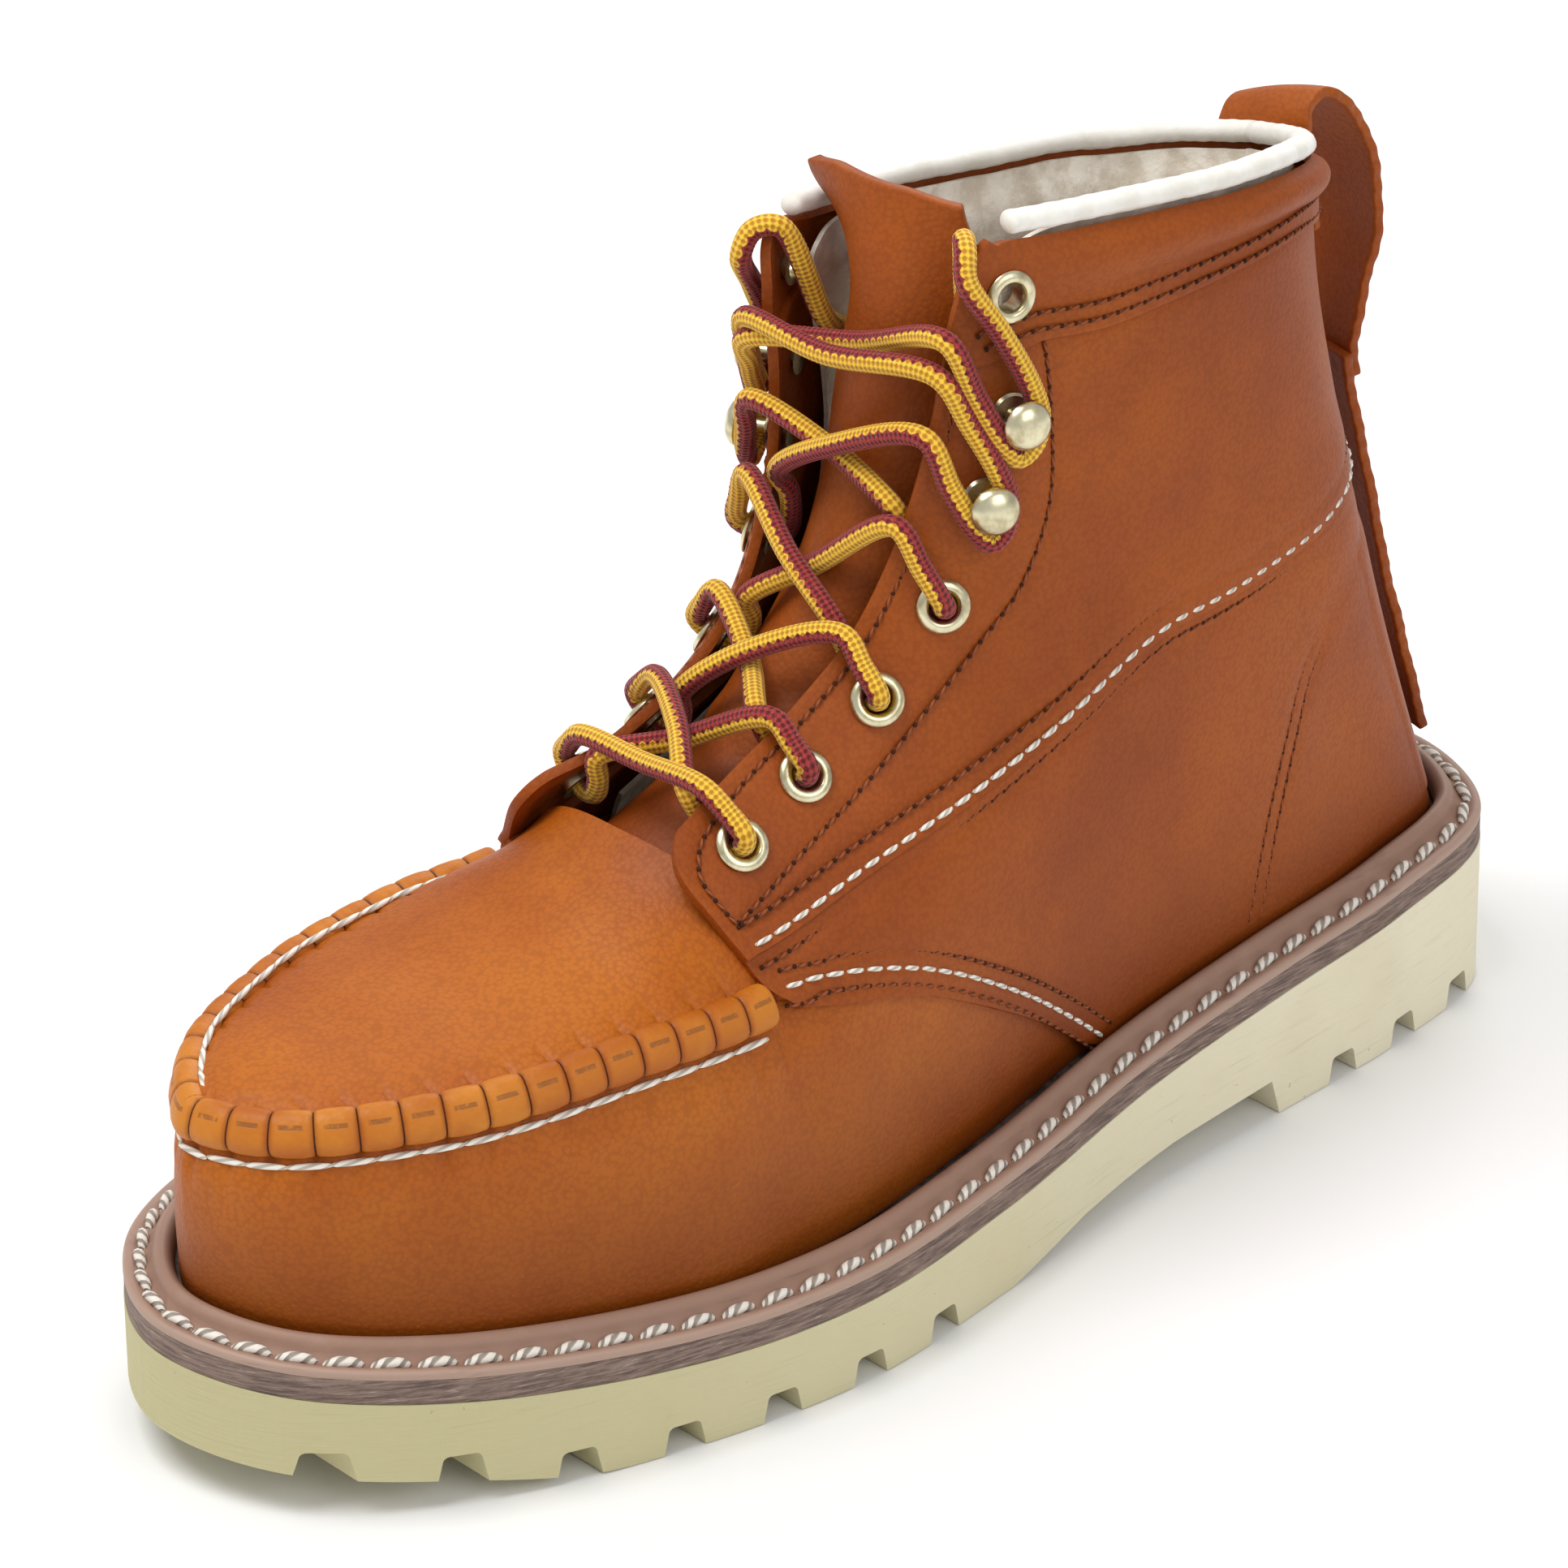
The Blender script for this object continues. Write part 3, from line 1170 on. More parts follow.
@dataclass
class SoleUnit:
    """Outsole, midsole, storm welt and the lockstitch that shows on it."""

    tread_depth: float = 5.2
    front: tuple[float, ...] = (-141, -121.5, -102, -82.5, -63, -43.5, -24)
    heel: tuple[float, ...] = (93, 111.5, 130)
    shank: tuple[tuple[float, float], ...] = (
        (-3, -2), (-3, 0.2), (18, 4), (45, 6.6), (72.5, 7.6), (75.5, -2),
    )
    midsole: float = 4.7
    stitch: Stitch = field(default_factory=lambda: Stitch(8.0, 7.5, 2.1, 8, 9, 0.42))

    def rise(self, y: Numbers, up: Numbers) -> Numbers:
        """Height above the wedge's top at a Y."""
        return LAST.wedge_top.one(y) + up

    def block(self) -> bpy.types.Object:
        """Wedge outsole with its tread cut across."""
        sole = self.slab("outsole_block", 0.0, -0.1, LAST.toe_spring.one)
        cutter = self.cutters()
        Bench.shape(sole, Shaper.CUT, operation="DIFFERENCE", object=cutter, solver="EXACT")
        Bench.discard(cutter)
        Bench.shape(
            sole, Shaper.BEVEL, width=0.5 * MM, segments=2, limit_method="ANGLE",
            angle_limit=math.radians(35),
        )
        Bench.soften(sole, 32)
        return sole

    def slab(
        self, name: str, inset: float, rise: float, bottom: Callable[[Points], Points]
    ) -> bpy.types.Object:
        """Layer of the sole.

        Args:
            name: the piece's name.
            inset: distance inside the sole edge.
            rise: height of its top above the wedge's top.
            bottom: gives the height of its underside at a Y.

        Returns:
            The new piece.
        """
        def place(a: Points, b: Points) -> Points:
            s = 5 - 5 * np.cos(math.pi * a)
            inner, outer = LAST.edge(-s, inset), LAST.edge(s, inset)
            flat = inner + (outer - inner) * b[:, None]
            return np.concatenate([flat, self.rise(flat[:, 1], rise)[:, None]], axis=1)

        layer = Bench.sheet(name, 260, 10, place)
        Bench.close(layer)
        count = len(layer.data.vertices)
        Bench.shape(layer, Shaper.WALL, thickness=1 * MM, offset=-1.0)
        points = Bench.places(layer)
        points[count:, :2] = points[:count, :2]
        points[count:, 2] = bottom(points[count:, 1])
        Bench.write(layer, points)
        Bench.close(layer)
        return layer

    def cutters(self) -> bpy.types.Object:
        """Bars that cut the tread, and the recess under the shank, joined."""
        bars = []
        for y in (*self.front, *self.heel):
            Bench.clear()
            bpy.ops.mesh.primitive_cube_add(size=2.0)
            bar = bpy.context.object
            unit_box = Bench.read(bar)
            low = unit_box[:, 2] < 0
            base = float(LAST.toe_spring.one(y))
            shape = np.stack([
                unit_box[:, 0] * 80,
                y + unit_box[:, 1] * np.where(low, 4.6, 2.9),
                np.where(low, base - 3, base + self.tread_depth),
            ], axis=1)
            Bench.write(bar, shape)
            Bench.shape(bar, Shaper.BEVEL, width=0.9 * MM, segments=3, limit_method="ANGLE")
            bars.append(bar)
        Bench.clear()
        bpy.ops.mesh.primitive_circle_add(vertices=len(self.shank), radius=1.0, fill_type="NGON")
        arch = bpy.context.object
        Bench.write(arch, np.array([(-80, y, z) for y, z in self.shank], dtype=float))
        Bench.only(arch)
        bpy.ops.object.mode_set(mode="EDIT")
        bpy.ops.mesh.select_all(action="SELECT")
        bpy.ops.mesh.extrude_region_move(TRANSFORM_OT_translate={"value": (160 * MM, 0, 0)})
        bpy.ops.object.mode_set(mode="OBJECT")
        Bench.close(arch)
        Bench.only(arch)
        for bar in bars:
            bar.select_set(True)
        bpy.ops.object.join()
        return arch

    def ring(self, name: str, section: Sequence[tuple[float, float]], rows: int) -> bpy.types.Object:
        """Closed band round the sole through a section of (inset, rise) points."""
        fine = spline([(x, y, 0.0) for x, y in (*section, section[0])], 12)
        fine = resampled(fine, rows + 1)

        def place(a: Points, b: Points) -> Points:
            i = np.rint(b * rows).astype(int) % rows
            flat = LAST.edge(a * 20, fine[i, 0])
            return np.concatenate([flat, self.rise(flat[:, 1], fine[i, 1])[:, None]], axis=1)

        band = Bench.skin(name, 440, rows, place)
        Bench.soften(band, 70)
        return band

    def layer(self) -> bpy.types.Object:
        """Brown midsole, trimmed at its side."""
        band = self.slab("midsole_layer", 0.15, self.midsole, lambda y: self.rise(y, 0.05))
        Bench.shape(
            band, Shaper.BEVEL, width=0.5 * MM, segments=2, limit_method="ANGLE",
            angle_limit=math.radians(50),
        )
        Bench.soften(band, 50)
        return band

    def seam(self) -> bpy.types.Object:
        """Corded lockstitch round the ledge."""
        s = np.linspace(0, 20, 1601)
        flat = LAST.edge(s, 3.1)
        line = np.concatenate([flat, self.rise(flat[:, 1], 6.75)[:, None]], axis=1)
        up = np.tile([0.0, 0.0, 1.0], (len(s), 1))
        return self.stitch.sew("welt_lockstitch", [self.stitch.along(line, up, 8.0)])

    def build(self, looks: Finishes) -> None:
        """Makes and dresses the sole unit."""
        hand_over(self.block(), "boot", "cream_rubber", [looks.crepe], "outsole")
        hand_over(self.layer(), "boot", "brown_midsole", [looks.midsole], "midsole")
        section = [
            (0.15, 4.75), (0.1, 5.9), (0.7, 6.45), (1.9, 6.35), (2.6, 5.95), (3.6, 5.95), (4.3, 6.5),
            (4.95, 7.3), (5.7, 8.9), (6.9, 9.75), (8.1, 9.2), (8.9, 7.7), (8.9, 5.2), (5.0, 4.75),
        ]
        hand_over(self.ring("storm_welt_rib", section, 44), "boot", "welt_brown", [looks.welt], "storm_welt")
        hand_over(self.seam(), "boot", "lace_cord", [looks.rope])


@dataclass
class Needlework:
    """Seams of one side of the upper, as lines on the leather."""

    side: int = 1
    fine: Stitch = field(default_factory=lambda: Stitch(3.1, 2.75, 0.78, 5, 4, 0.45))
    bold: Stitch = field(default_factory=lambda: Stitch(4.3, 4.0, 1.0, 6, 5, 0.4))
    hole: Stitch = field(default_factory=lambda: Stitch(3.1, 0.85, 0.95, 5, 3, 0.0))

    def station(self, s: Numbers) -> Numbers:
        """Station on this side."""
        return s if self.side > 0 else 20 - np.asarray(s, dtype=float)

    def line(self, knots: Sequence[tuple[float, float]], off: float = 0.0, out: float = LEATHER) -> Points:
        """Fine seam line through (station, height fraction) knots.

        Args:
            knots: the seam on the outer side.
            off: distance from it towards the seam's left, in millimetres.
            out: distance outside the last.

        Returns:
            Points and outward directions in six columns.
        """
        path = spline([(s, v, 0.0) for s, v in knots], 24)
        s, v = path[:, 0], path[:, 1]
        if off:
            points = LAST.bare(self.station(s), v)
            tangent = unit(np.gradient(points, axis=0))
            away = np.cross(LAST.facing(self.station(s), v), tangent) * (off * self.side)
            along = LAST.bare(self.station(s + 0.02), v) - LAST.bare(self.station(s - 0.02), v)
            higher = LAST.bare(self.station(s), np.minimum(v + 0.01, 1))
            upward = higher - LAST.bare(self.station(s), v - 0.01)
            ds = np.linalg.norm(along, axis=1) / 0.04
            dv = 1 / LAST.per_mm(self.station(s), v)
            e_s, e_v = unit(along), unit(upward)
            lean = np.sum(e_s * e_v, axis=1)
            x, y = np.sum(away * e_s, axis=1), np.sum(away * e_v, axis=1)
            s = s + (x - lean * y) / (1 - lean**2) / ds
            v = v + (y - lean * x) / (1 - lean**2) / dv
        real = self.station(s)
        return np.concatenate([LAST.upper(real, v, out), LAST.facing(real, v)], axis=1)


FACING_ROW = (
    (7.13, 0.982), (6.86, 0.972), (6.47, 0.966), (5.89, 0.962), (5.2, 0.962), (4.51, 0.957),
    (4.12, 0.925), (4.0, 0.86), (3.99, 0.78), (4.0, 0.72),
)
BEHIND_ROW = (
    (7.47, 0.985), (7.34, 0.89), (7.04, 0.80), (6.56, 0.766), (6.07, 0.772), (5.57, 0.77),
    (5.02, 0.75), (4.51, 0.738), (4.02, 0.73),
)
TRIPLE_ROW = (
    (4.0, 0.662), (4.7, 0.62), (5.41, 0.594), (6.36, 0.59), (7.06, 0.6), (7.67, 0.606),
    (8.35, 0.62), (9.02, 0.646), (9.9, 0.672),
)
LOWER_ROW = (
    (4.04, 0.53), (4.52, 0.462), (4.95, 0.385), (5.32, 0.305), (5.66, 0.2), (5.92, 0.088), (6.05, 0.02),
)
LOW_EDGE = Track([
    (3.8, 0.47), (4.0, 0.462), (4.44, 0.414), (4.99, 0.326), (5.42, 0.226), (5.76, 0.114),
    (5.95, 0.03), (6.1, 0.0), (10, 0.0),
])
COLLAR_ROW = (
    (7.05, 0.955), (7.3, 0.922), (7.6, 0.914), (8.0, 0.92), (8.5, 0.93), (9.0, 0.94), (9.9, 0.948),
)
COUNTER_ROW = (
    (9.72, 0.6), (9.2, 0.572), (8.62, 0.552), (8.2, 0.492), (7.85, 0.37), (7.5, 0.225), (7.14, 0.045),
)
SEAM = Track([(s, v) for s, v in TRIPLE_ROW])
BAND = Track([(6.8, 0.985), (7, 0.945), (7.3, 0.907), (7.6, 0.9), (8, 0.908), (9, 0.93), (10, 0.937)])


@dataclass
class Upper:
    """Leather panels of the upper, with the gathered toe seam and all its stitching."""

    bead_wide: float = 4.1
    bead_high: float = 3.1
    front: float = 3.9
    bead_s: Points = field(default_factory=lambda: np.linspace(-BEAD_END, BEAD_END, 801))

    def bead_line(self, s: Points) -> Points:
        """Middle line of the gathered bead."""
        back = np.abs(s) - 0.15
        tuck = np.where(back < 3.4, 0.0, -(LEATHER + 0.35) * smooth(back, 3.4, 4.05))
        return LAST.upper(s, 0.5, 1.35 + tuck * 0.2) + np.array([0, 0, 1.3])

    def gather(self, s: Points) -> Points:
        """Count of gathers along the bead at a station."""
        line = self.bead_line(self.bead_s)
        walk = np.concatenate([[0], np.cumsum(np.linalg.norm(np.diff(line, axis=0), axis=1))])
        return np.interp(s, self.bead_s, walk / walk[-1] * GATHERS)

    def pucker(self, s: Points) -> Points:
        """How strongly the leather is pulled in at a station, 1 at each pinch."""
        near = np.abs(np.mod(self.gather(s), 1.0) - 0.5)
        return smooth(near, 0.26, 0.5) * (np.abs(s) < BEAD_END)

    def vamp(self) -> bpy.types.Object:
        """Wall of the vamp from the welt up to the bead."""
        settle = Track([(0, 0), (3.4, 0), (4.05, -2.25), (10, -2.25)])
        top = Track([(3.8, 0.488), (4.0, 0.5), (4.6, 0.46), (5.2, 0.37), (5.8, 0.24), (6.3, 0.13), (10, 0.1)])

        def place(a: Points, b: Points) -> Points:
            s = -6.25 + 12.5 * a
            high = np.where(np.abs(s) < 3.8, 0.488, top.one(np.abs(s)))
            v = high * b
            out = settle.one(np.abs(s)) + LEATHER
            out = out - 0.75 * self.pucker(s) * smooth(v, 0.36, 0.48)
            out = out - 0.5 * smooth(v, 0.44, 0.488) + 0.35 * hump(v, 0.39, 0.04) * (1 - self.pucker(s))
            return LAST.upper(s, v, out)

        wall = Bench.sheet("vamp_leather", 480, 60, place)
        Bench.crumple(wall, 26, 0.22, 5)
        Bench.wall(wall, LEATHER, 0.4)
        return wall

    def plug(self) -> bpy.types.Object:
        """Top panel of the toe, gathered at its edge and raw at its throat."""
        def place(a: Points, b: Points) -> Points:
            side = 2 * b - 1
            s = 0.12 + (3.86 + 0.3 * side**2 - 0.12) * a
            half = np.linalg.norm(LAST.rib(s)[1] - LAST.rib(-s)[1], axis=1) / 2
            t = side * (1 - 1.6 / np.maximum(4, half))
            back = s + 0.15
            out = LEATHER - (LEATHER + 0.35) * smooth(back, 3.5, 4.05)
            close = smooth(np.abs(t) * half, half - 9, half - 2)
            out = out - 0.7 * self.pucker(np.sign(side) * s) * close + 0.4 * (1 - close) * smooth(a, 0, 0.1)
            return LAST.plug(s, t, out)

        panel = Bench.sheet("vamp_plug_leather", 170, 120, place)
        Bench.crumple(panel, 30, 0.28, 9)
        Bench.wall(panel, LEATHER, 0.4)
        return panel

    def bead(self) -> bpy.types.Object:
        """Rolled bead, pinched at every gather."""
        s = np.interp(np.linspace(0, GATHERS, GATHERS * 22 + 1), self.gather(self.bead_s), self.bead_s)
        line = self.bead_line(s)
        out = LAST.facing(s, 0.5)
        tangent = unit(np.gradient(line, axis=0))
        side = unit(np.cross(tangent, out))
        out = np.cross(side, tangent)

        def girth(a: Points, angle: Points) -> Points:
            near = np.abs(np.mod(a * GATHERS, 1.0) - 0.5)
            pinch = 1 - 0.13 * smooth(near, 0.44, 0.5) - 0.045 * smooth(near, 0.15, 0.45)
            end = rounded_ends(a)
            square = (np.abs(np.cos(angle)) ** 2.6 + np.abs(np.sin(angle)) ** 2.6) ** (-1 / 2.6)
            size = pinch * end * square
            return np.stack([self.bead_wide * size, self.bead_high * size], axis=1)

        roll = Bench.tube("moc_bead_leather", line, 22, girth, sides=(side, out))
        Bench.stretch_uv(roll, GATHERS, 1.0)
        return roll

    def bead_thread(self) -> bpy.types.Object:
        """White loops that hold the bead, along both its edges."""
        loop = Stitch(8.6, 8.0, 1.25, 6, 8, 0.0)
        rows = []
        s = np.interp(np.linspace(0.5, GATHERS - 0.5, 1400), self.gather(self.bead_s), self.bead_s)
        line = self.bead_line(s)
        tangent = unit(np.gradient(line, axis=0))
        out = LAST.facing(s, 0.5)
        side = unit(np.cross(tangent, out))
        low = 0.5 - 4.1 * LAST.per_mm(s, np.full_like(s, 0.47))
        inner = line - side * (self.bead_wide + 0.1) - out * 1.3
        seen = s < 0.35
        for path, up, n in (
            (LAST.upper(s, low, LEATHER + 0.25), LAST.facing(s, low), GATHERS - 1),
            (inner[seen], unit(out * 0.5 - side)[seen], round((GATHERS - 1) * seen.mean())),
        ):
            both = np.concatenate([path, up], axis=1)
            fine = resampled(both, 2 * n + 1)
            here, upward = fine[1::2, :3], unit(fine[1::2, 3:])
            way = unit(fine[2::2, :3] - fine[:-1:2, :3])
            across = unit(np.cross(upward, way))
            rows.append(np.stack([across, np.cross(way, across), way, here], axis=1))
        return loop.sew("bead_white_thread", rows)

    def quarter(self, work: Needlework, upper_half: bool) -> bpy.types.Object:
        """Upper or lower quarter panel of one side."""
        name = f"{'outer' if work.side > 0 else 'inner'}_{'upper' if upper_half else 'lower'}_quarter_leather"
        start = self.front

        def place(a: Points, b: Points) -> Points:
            line = a if work.side > 0 else 1 - a
            s = start + (9.985 - start) * line
            seam = SEAM.one(s)
            per = LAST.per_mm(s, np.full_like(s, 0.6))
            if upper_half:
                low = seam - 1.5 * per
                high = np.where(s < 6.75, 1.0, BAND.one(s) + 0.012)
            else:
                low, high = LOW_EDGE.one(s), seam + 3.0 * per
            v = low + (high - low) * b
            corner = np.abs((v - 0.735) / 0.275) ** 5
            s = s + 0.26 * np.minimum(corner, 1.2) * np.exp(-(s - start) / 0.22)
            if upper_half:
                out = 0.75 * (1 - smooth(v - low, 0, 0.09)) - 0.9 * smooth(v, high - 0.03, high) * (s > 6.9)
            else:
                out = -1.3 * smooth(v, high - 5.0 * per, high - 1.5 * per)
                out = out + 1.3 * hump(s, start, 0.22) * hump(v, 0.5, 0.05)
            return LAST.upper(work.station(s), v, LEATHER + out)

        panel = Bench.sheet(name, 230, 76, place)
        rows = [work.line(TRIPLE_ROW, off)[:, :3] for off in (-TRIPLE_GAP, 0.0, TRIPLE_GAP)]
        if upper_half:
            rows += [work.line(FACING_ROW)[:, :3], work.line(BEHIND_ROW)[:, :3]]
        else:
            rows += [work.line(LOWER_ROW, off)[:, :3] for off in (-LOWER_GAP, 0.0, LOWER_GAP)]
            rows += [work.line(COUNTER_ROW, off)[:, :3] for off in (-COUNTER_GAP, COUNTER_GAP)]
        Bench.crumple(panel, 34, 0.5, 21 + 2 * work.side + upper_half)
        Bench.press(panel, rows, 0.34, 1.5)
        Bench.wall(panel, LEATHER, 0.4)
        return panel

    def collar(self) -> bpy.types.Object:
        """Padded band round the shaft's mouth."""
        def place(a: Points, b: Points) -> Points:
            s = 6.82 + 6.36 * a
            m = mirrored(s)
            low = BAND.one(m) - 0.004
            high = np.where(m < 7.35, 1.0, 0.992)
            v = low + (high - low) * b
            pad = smooth(m, 7.3, 7.9)
            roll = np.clip((b - 0.4) / 0.6, 0, 1)
            out = 0.55 + pad * (2.4 * np.sin(math.pi * roll) ** 0.8 - 0.7 * smooth(b, 0.8, 1))
            return LAST.upper(s, v, LEATHER + out - 0.3 * (1 - pad))

        band = Bench.sheet("collar_band_leather", 260, 26, place)
        Bench.crumple(band, 15, 0.3, 33)
        Bench.wall(band, LEATHER, 0.4)
        return band

    def piping(self) -> bpy.types.Object:
        """White leather piping over the collar's edge."""
        s = np.linspace(7.44, 12.56, 620)
        line = LAST.upper(s, 1.0, 0.6) + np.array([0, 0, 1.35])

        def girth(a: Points, angle: Points) -> Points:
            end = rounded_ends(a)
            pleat = 1 + 0.035 * np.sin(a * 260) * np.sin(a * 91 + 1)
            return np.stack([2.05 * end * pleat, 2.35 * end * pleat], axis=1)

        return Bench.tube("collar_piping_leather", line, 16, girth)

    def lining(self) -> bpy.types.Object:
        """Brushed lining, padded and creased below the piping."""
        top = Track([(4.7, 0.6), (5.4, 0.64), (6.2, 0.7), (6.9, 0.8), (7.4, 0.96), (7.8, 0.992), (10, 0.992)])

        def place(a: Points, b: Points) -> Points:
            s = 4.7 + 10.6 * a
            m = mirrored(s)
            high = top.one(m)
            v = 0.03 + (high - 0.03) * b
            pad = smooth(m, 7.2, 8.0)
            out = -3.3 - pad * 2.0 * hump(v, 0.93, 0.035) + pad * 2.6 * smooth(v, 0.955, 0.992)
            crease = np.sin(s * 21 + 3 * np.sin(s * 5)) * 0.28 * pad * hump(v, 0.94, 0.045)
            return LAST.upper(s, v, out + crease)

        cloth = Bench.sheet("quarter_lining_cloth", 420, 110, place)
        Bench.crumple(cloth, 9, 0.25, 41)
        Bench.wall(cloth, 0.9, 0.0)
        return cloth

    def foxing(self) -> bpy.types.Object:
        """Heel piece under the strap, skived thin at its edges."""
        def place(a: Points, b: Points) -> Points:
            s = 8.78 + 2.44 * a
            m = mirrored(s)
            high = 0.575 + 0.07 * (1 - (10 - m) / 1.22)
            v = 0.05 + (high - 0.05) * b
            rim = np.minimum.reduce([a, 1 - a, 1 - b]) * 14
            return LAST.upper(s, v, LEATHER + 0.75 * smooth(rim, 0, 1) - 0.15)

        panel = Bench.sheet("heel_foxing_leather", 110, 80, place)
        Bench.wall(panel, 0.6, 0.0)
        return panel

    def strap(
        self, name: str, knots: Sequence[tuple[float, float]], bend: float, half: float
    ) -> bpy.types.Object:
        """Leather strap in the middle plane through (Y, Z) knots."""
        line = resampled(spline([(0.0, y, z) for y, z in knots], 16), 161)
        tangent = unit(np.gradient(line, axis=0))

        def place(a: Points, b: Points) -> Points:
            i = np.rint(a * 160).astype(int)
            f = 1 - 2 * b
            x = f * (half + 0.22 * np.sin(a * 37 + 9 * f) + 0.15 * np.sin(a * 141))
            lift = 1.0 - bend * x**2
            y = line[i, 1] + tangent[i, 2] * lift
            z = line[i, 2] - tangent[i, 1] * lift
            tilt = smooth(z, 146, 176)
            return np.stack([x, y + 0.12 * tilt * x, z + tilt * (0.3 * x - 1.5)], axis=1)

        piece = Bench.sheet(name, 160, 16, place)
        Bench.crumple(piece, 11, 0.16, 51)
        Bench.wall(piece, 2.0, 0.4)
        return piece

    def back_line(self, v: float, out: float) -> tuple[float, float]:
        """Y and Z at the back of the heel."""
        point = LAST.upper(10.0, v, out)
        return float(point[1]), float(point[2])

    def build(self, looks: Finishes) -> None:
        """Makes and dresses the upper."""
        tan = [looks.hide, looks.suede]
        dark = [looks.neck, looks.suede]
        hand_over(self.vamp(), "boot", "tan_leather", tan, "vamp_wall")
        hand_over(self.plug(), "boot", "tan_leather", tan, "vamp_plug")
        hand_over(self.bead(), "boot", "tan_leather_dark", [looks.bead], "moc_bead")
        hand_over(self.bead_thread(), "boot", "lace_cord", [looks.white])
        for side, word in ((1, "outer"), (-1, "inner")):
            work = Needlework(side)
            for upper_half, part in ((True, "upper"), (False, "lower")):
                node = f"{word}_{part}_quarter"
                panel = self.quarter(work, upper_half)
                if upper_half:
                    spots = [Fastener.eyelet(side, i) for i in range(4)]
                    self.drill(panel, [*spots, *(Fastener.hook(side, i) for i in range(2))])
                hand_over(panel, "boot", "tan_leather", dark, node)
            self.sew(work, word, looks)
        band = self.collar()
        for side in (1, -1):
            self.drill(band, [Fastener.eyelet(side, 4)])
        hand_over(band, "boot", "tan_leather", dark, "collar_band")
        hand_over(self.piping(), "boot", "piping", [looks.piping], "collar_piping")
        hand_over(self.lining(), "boot", "lining_cloth", [looks.lining, looks.lining], "quarter_lining")
        hand_over(self.foxing(), "boot", "tan_leather_dark", dark, "heel_foxing")
        stay = [self.back_line(v, 5.3) for v in (0.065, 0.15, 0.3, 0.45, 0.55, 0.64, 0.7, 0.74)]
        hand_over(self.strap("backstay_leather", stay, 0.011, 10), "boot", "tan_leather", dark, "backstay")
        loop = [
            self.back_line(0.71, 6.6), self.back_line(0.75, 7.6), (124.5, 143), (127, 152), (125.5, 163),
            (121, 173), (115.5, 179), (112, 180.4), (109.8, 178.5), (109.4, 174), (110.2, 169.5),
            self.back_line(0.93, 4.3), self.back_line(0.9, 4.2),
        ]
        hand_over(self.strap("pull_loop_leather", loop, 0.008, 10), "boot", "suede", dark, "pull_loop")

    def drill(self, panel: bpy.types.Object, spots: Sequence["Fastener"]) -> None:
        """Punches the holes of the given eyelets and hooks through a panel."""
        bars = []
        for spot in spots:
            radius = EYELET_HOLE if spot.is_eyelet else HOOK_HOLE
            bar = Bench.turned("punch", [(0.01, -5), (radius, -5), (radius, 4), (0.01, 4)], 24)
            bar.data.transform(spot.frame())
            bars.append(bar)
        Bench.only(bars[0])
        for bar in bars:
            bar.select_set(True)
        if len(bars) > 1:
            bpy.ops.object.join()
        punch = bars[0]
        Bench.shape(panel, Shaper.CUT, operation="DIFFERENCE", object=punch, solver="EXACT")
        Bench.discard(punch)

    def sew(self, work: Needlework, word: str, looks: Finishes) -> None:
        """Lays the brown and white rows of one side, with their needle holes."""
        brown = [
            work.line(FACING_ROW), work.line(BEHIND_ROW), work.line(TRIPLE_ROW, -TRIPLE_GAP),
            work.line(TRIPLE_ROW, TRIPLE_GAP, 2.3),
            work.line(LOWER_ROW, -LOWER_GAP), work.line(LOWER_ROW, LOWER_GAP),
            work.line(COUNTER_ROW, -COUNTER_GAP), work.line(COUNTER_ROW, COUNTER_GAP),
            work.line(COLLAR_ROW, -COLLAR_GAP, 2.95), work.line(COLLAR_ROW, COLLAR_GAP, 2.95),
        ]
        white = [work.line(TRIPLE_ROW, 0.0, 2.55), work.line(LOWER_ROW)]
        lift = 0.1
        sewn = [work.fine.along(r[:, :3] + r[:, 3:] * (lift - 0.3), r[:, 3:]) for r in brown]
        hand_over(work.fine.sew(f"{word}_brown_stitching", sewn), "boot", "tan_leather_dark", [looks.brown])
        bold = [work.bold.along(r[:, :3] + r[:, 3:] * (lift - 0.15), r[:, 3:]) for r in white]
        hand_over(work.bold.sew(f"{word}_white_stitching", bold), "boot", "piping", [looks.white])
        holes = []
        for row in brown:
            count = max(3, round(length_of(row[:, :3]) / work.fine.pitch))
            fine = resampled(row, count + 1)
            here, up = fine[:, :3], unit(fine[:, 3:])
            way = unit(np.gradient(here, axis=0))
            side = unit(np.cross(up, way))
            holes.append(np.stack([side, np.cross(way, side), way, here - up * 0.42], axis=1))
        hand_over(work.hole.sew(f"{word}_needle_holes", holes), "boot", "tan_leather_dark", [looks.hole])


class Kind(Enum):
    """Metal fittings on the facings."""

    EYELET = "eyelet"
    HOOK = "hook"


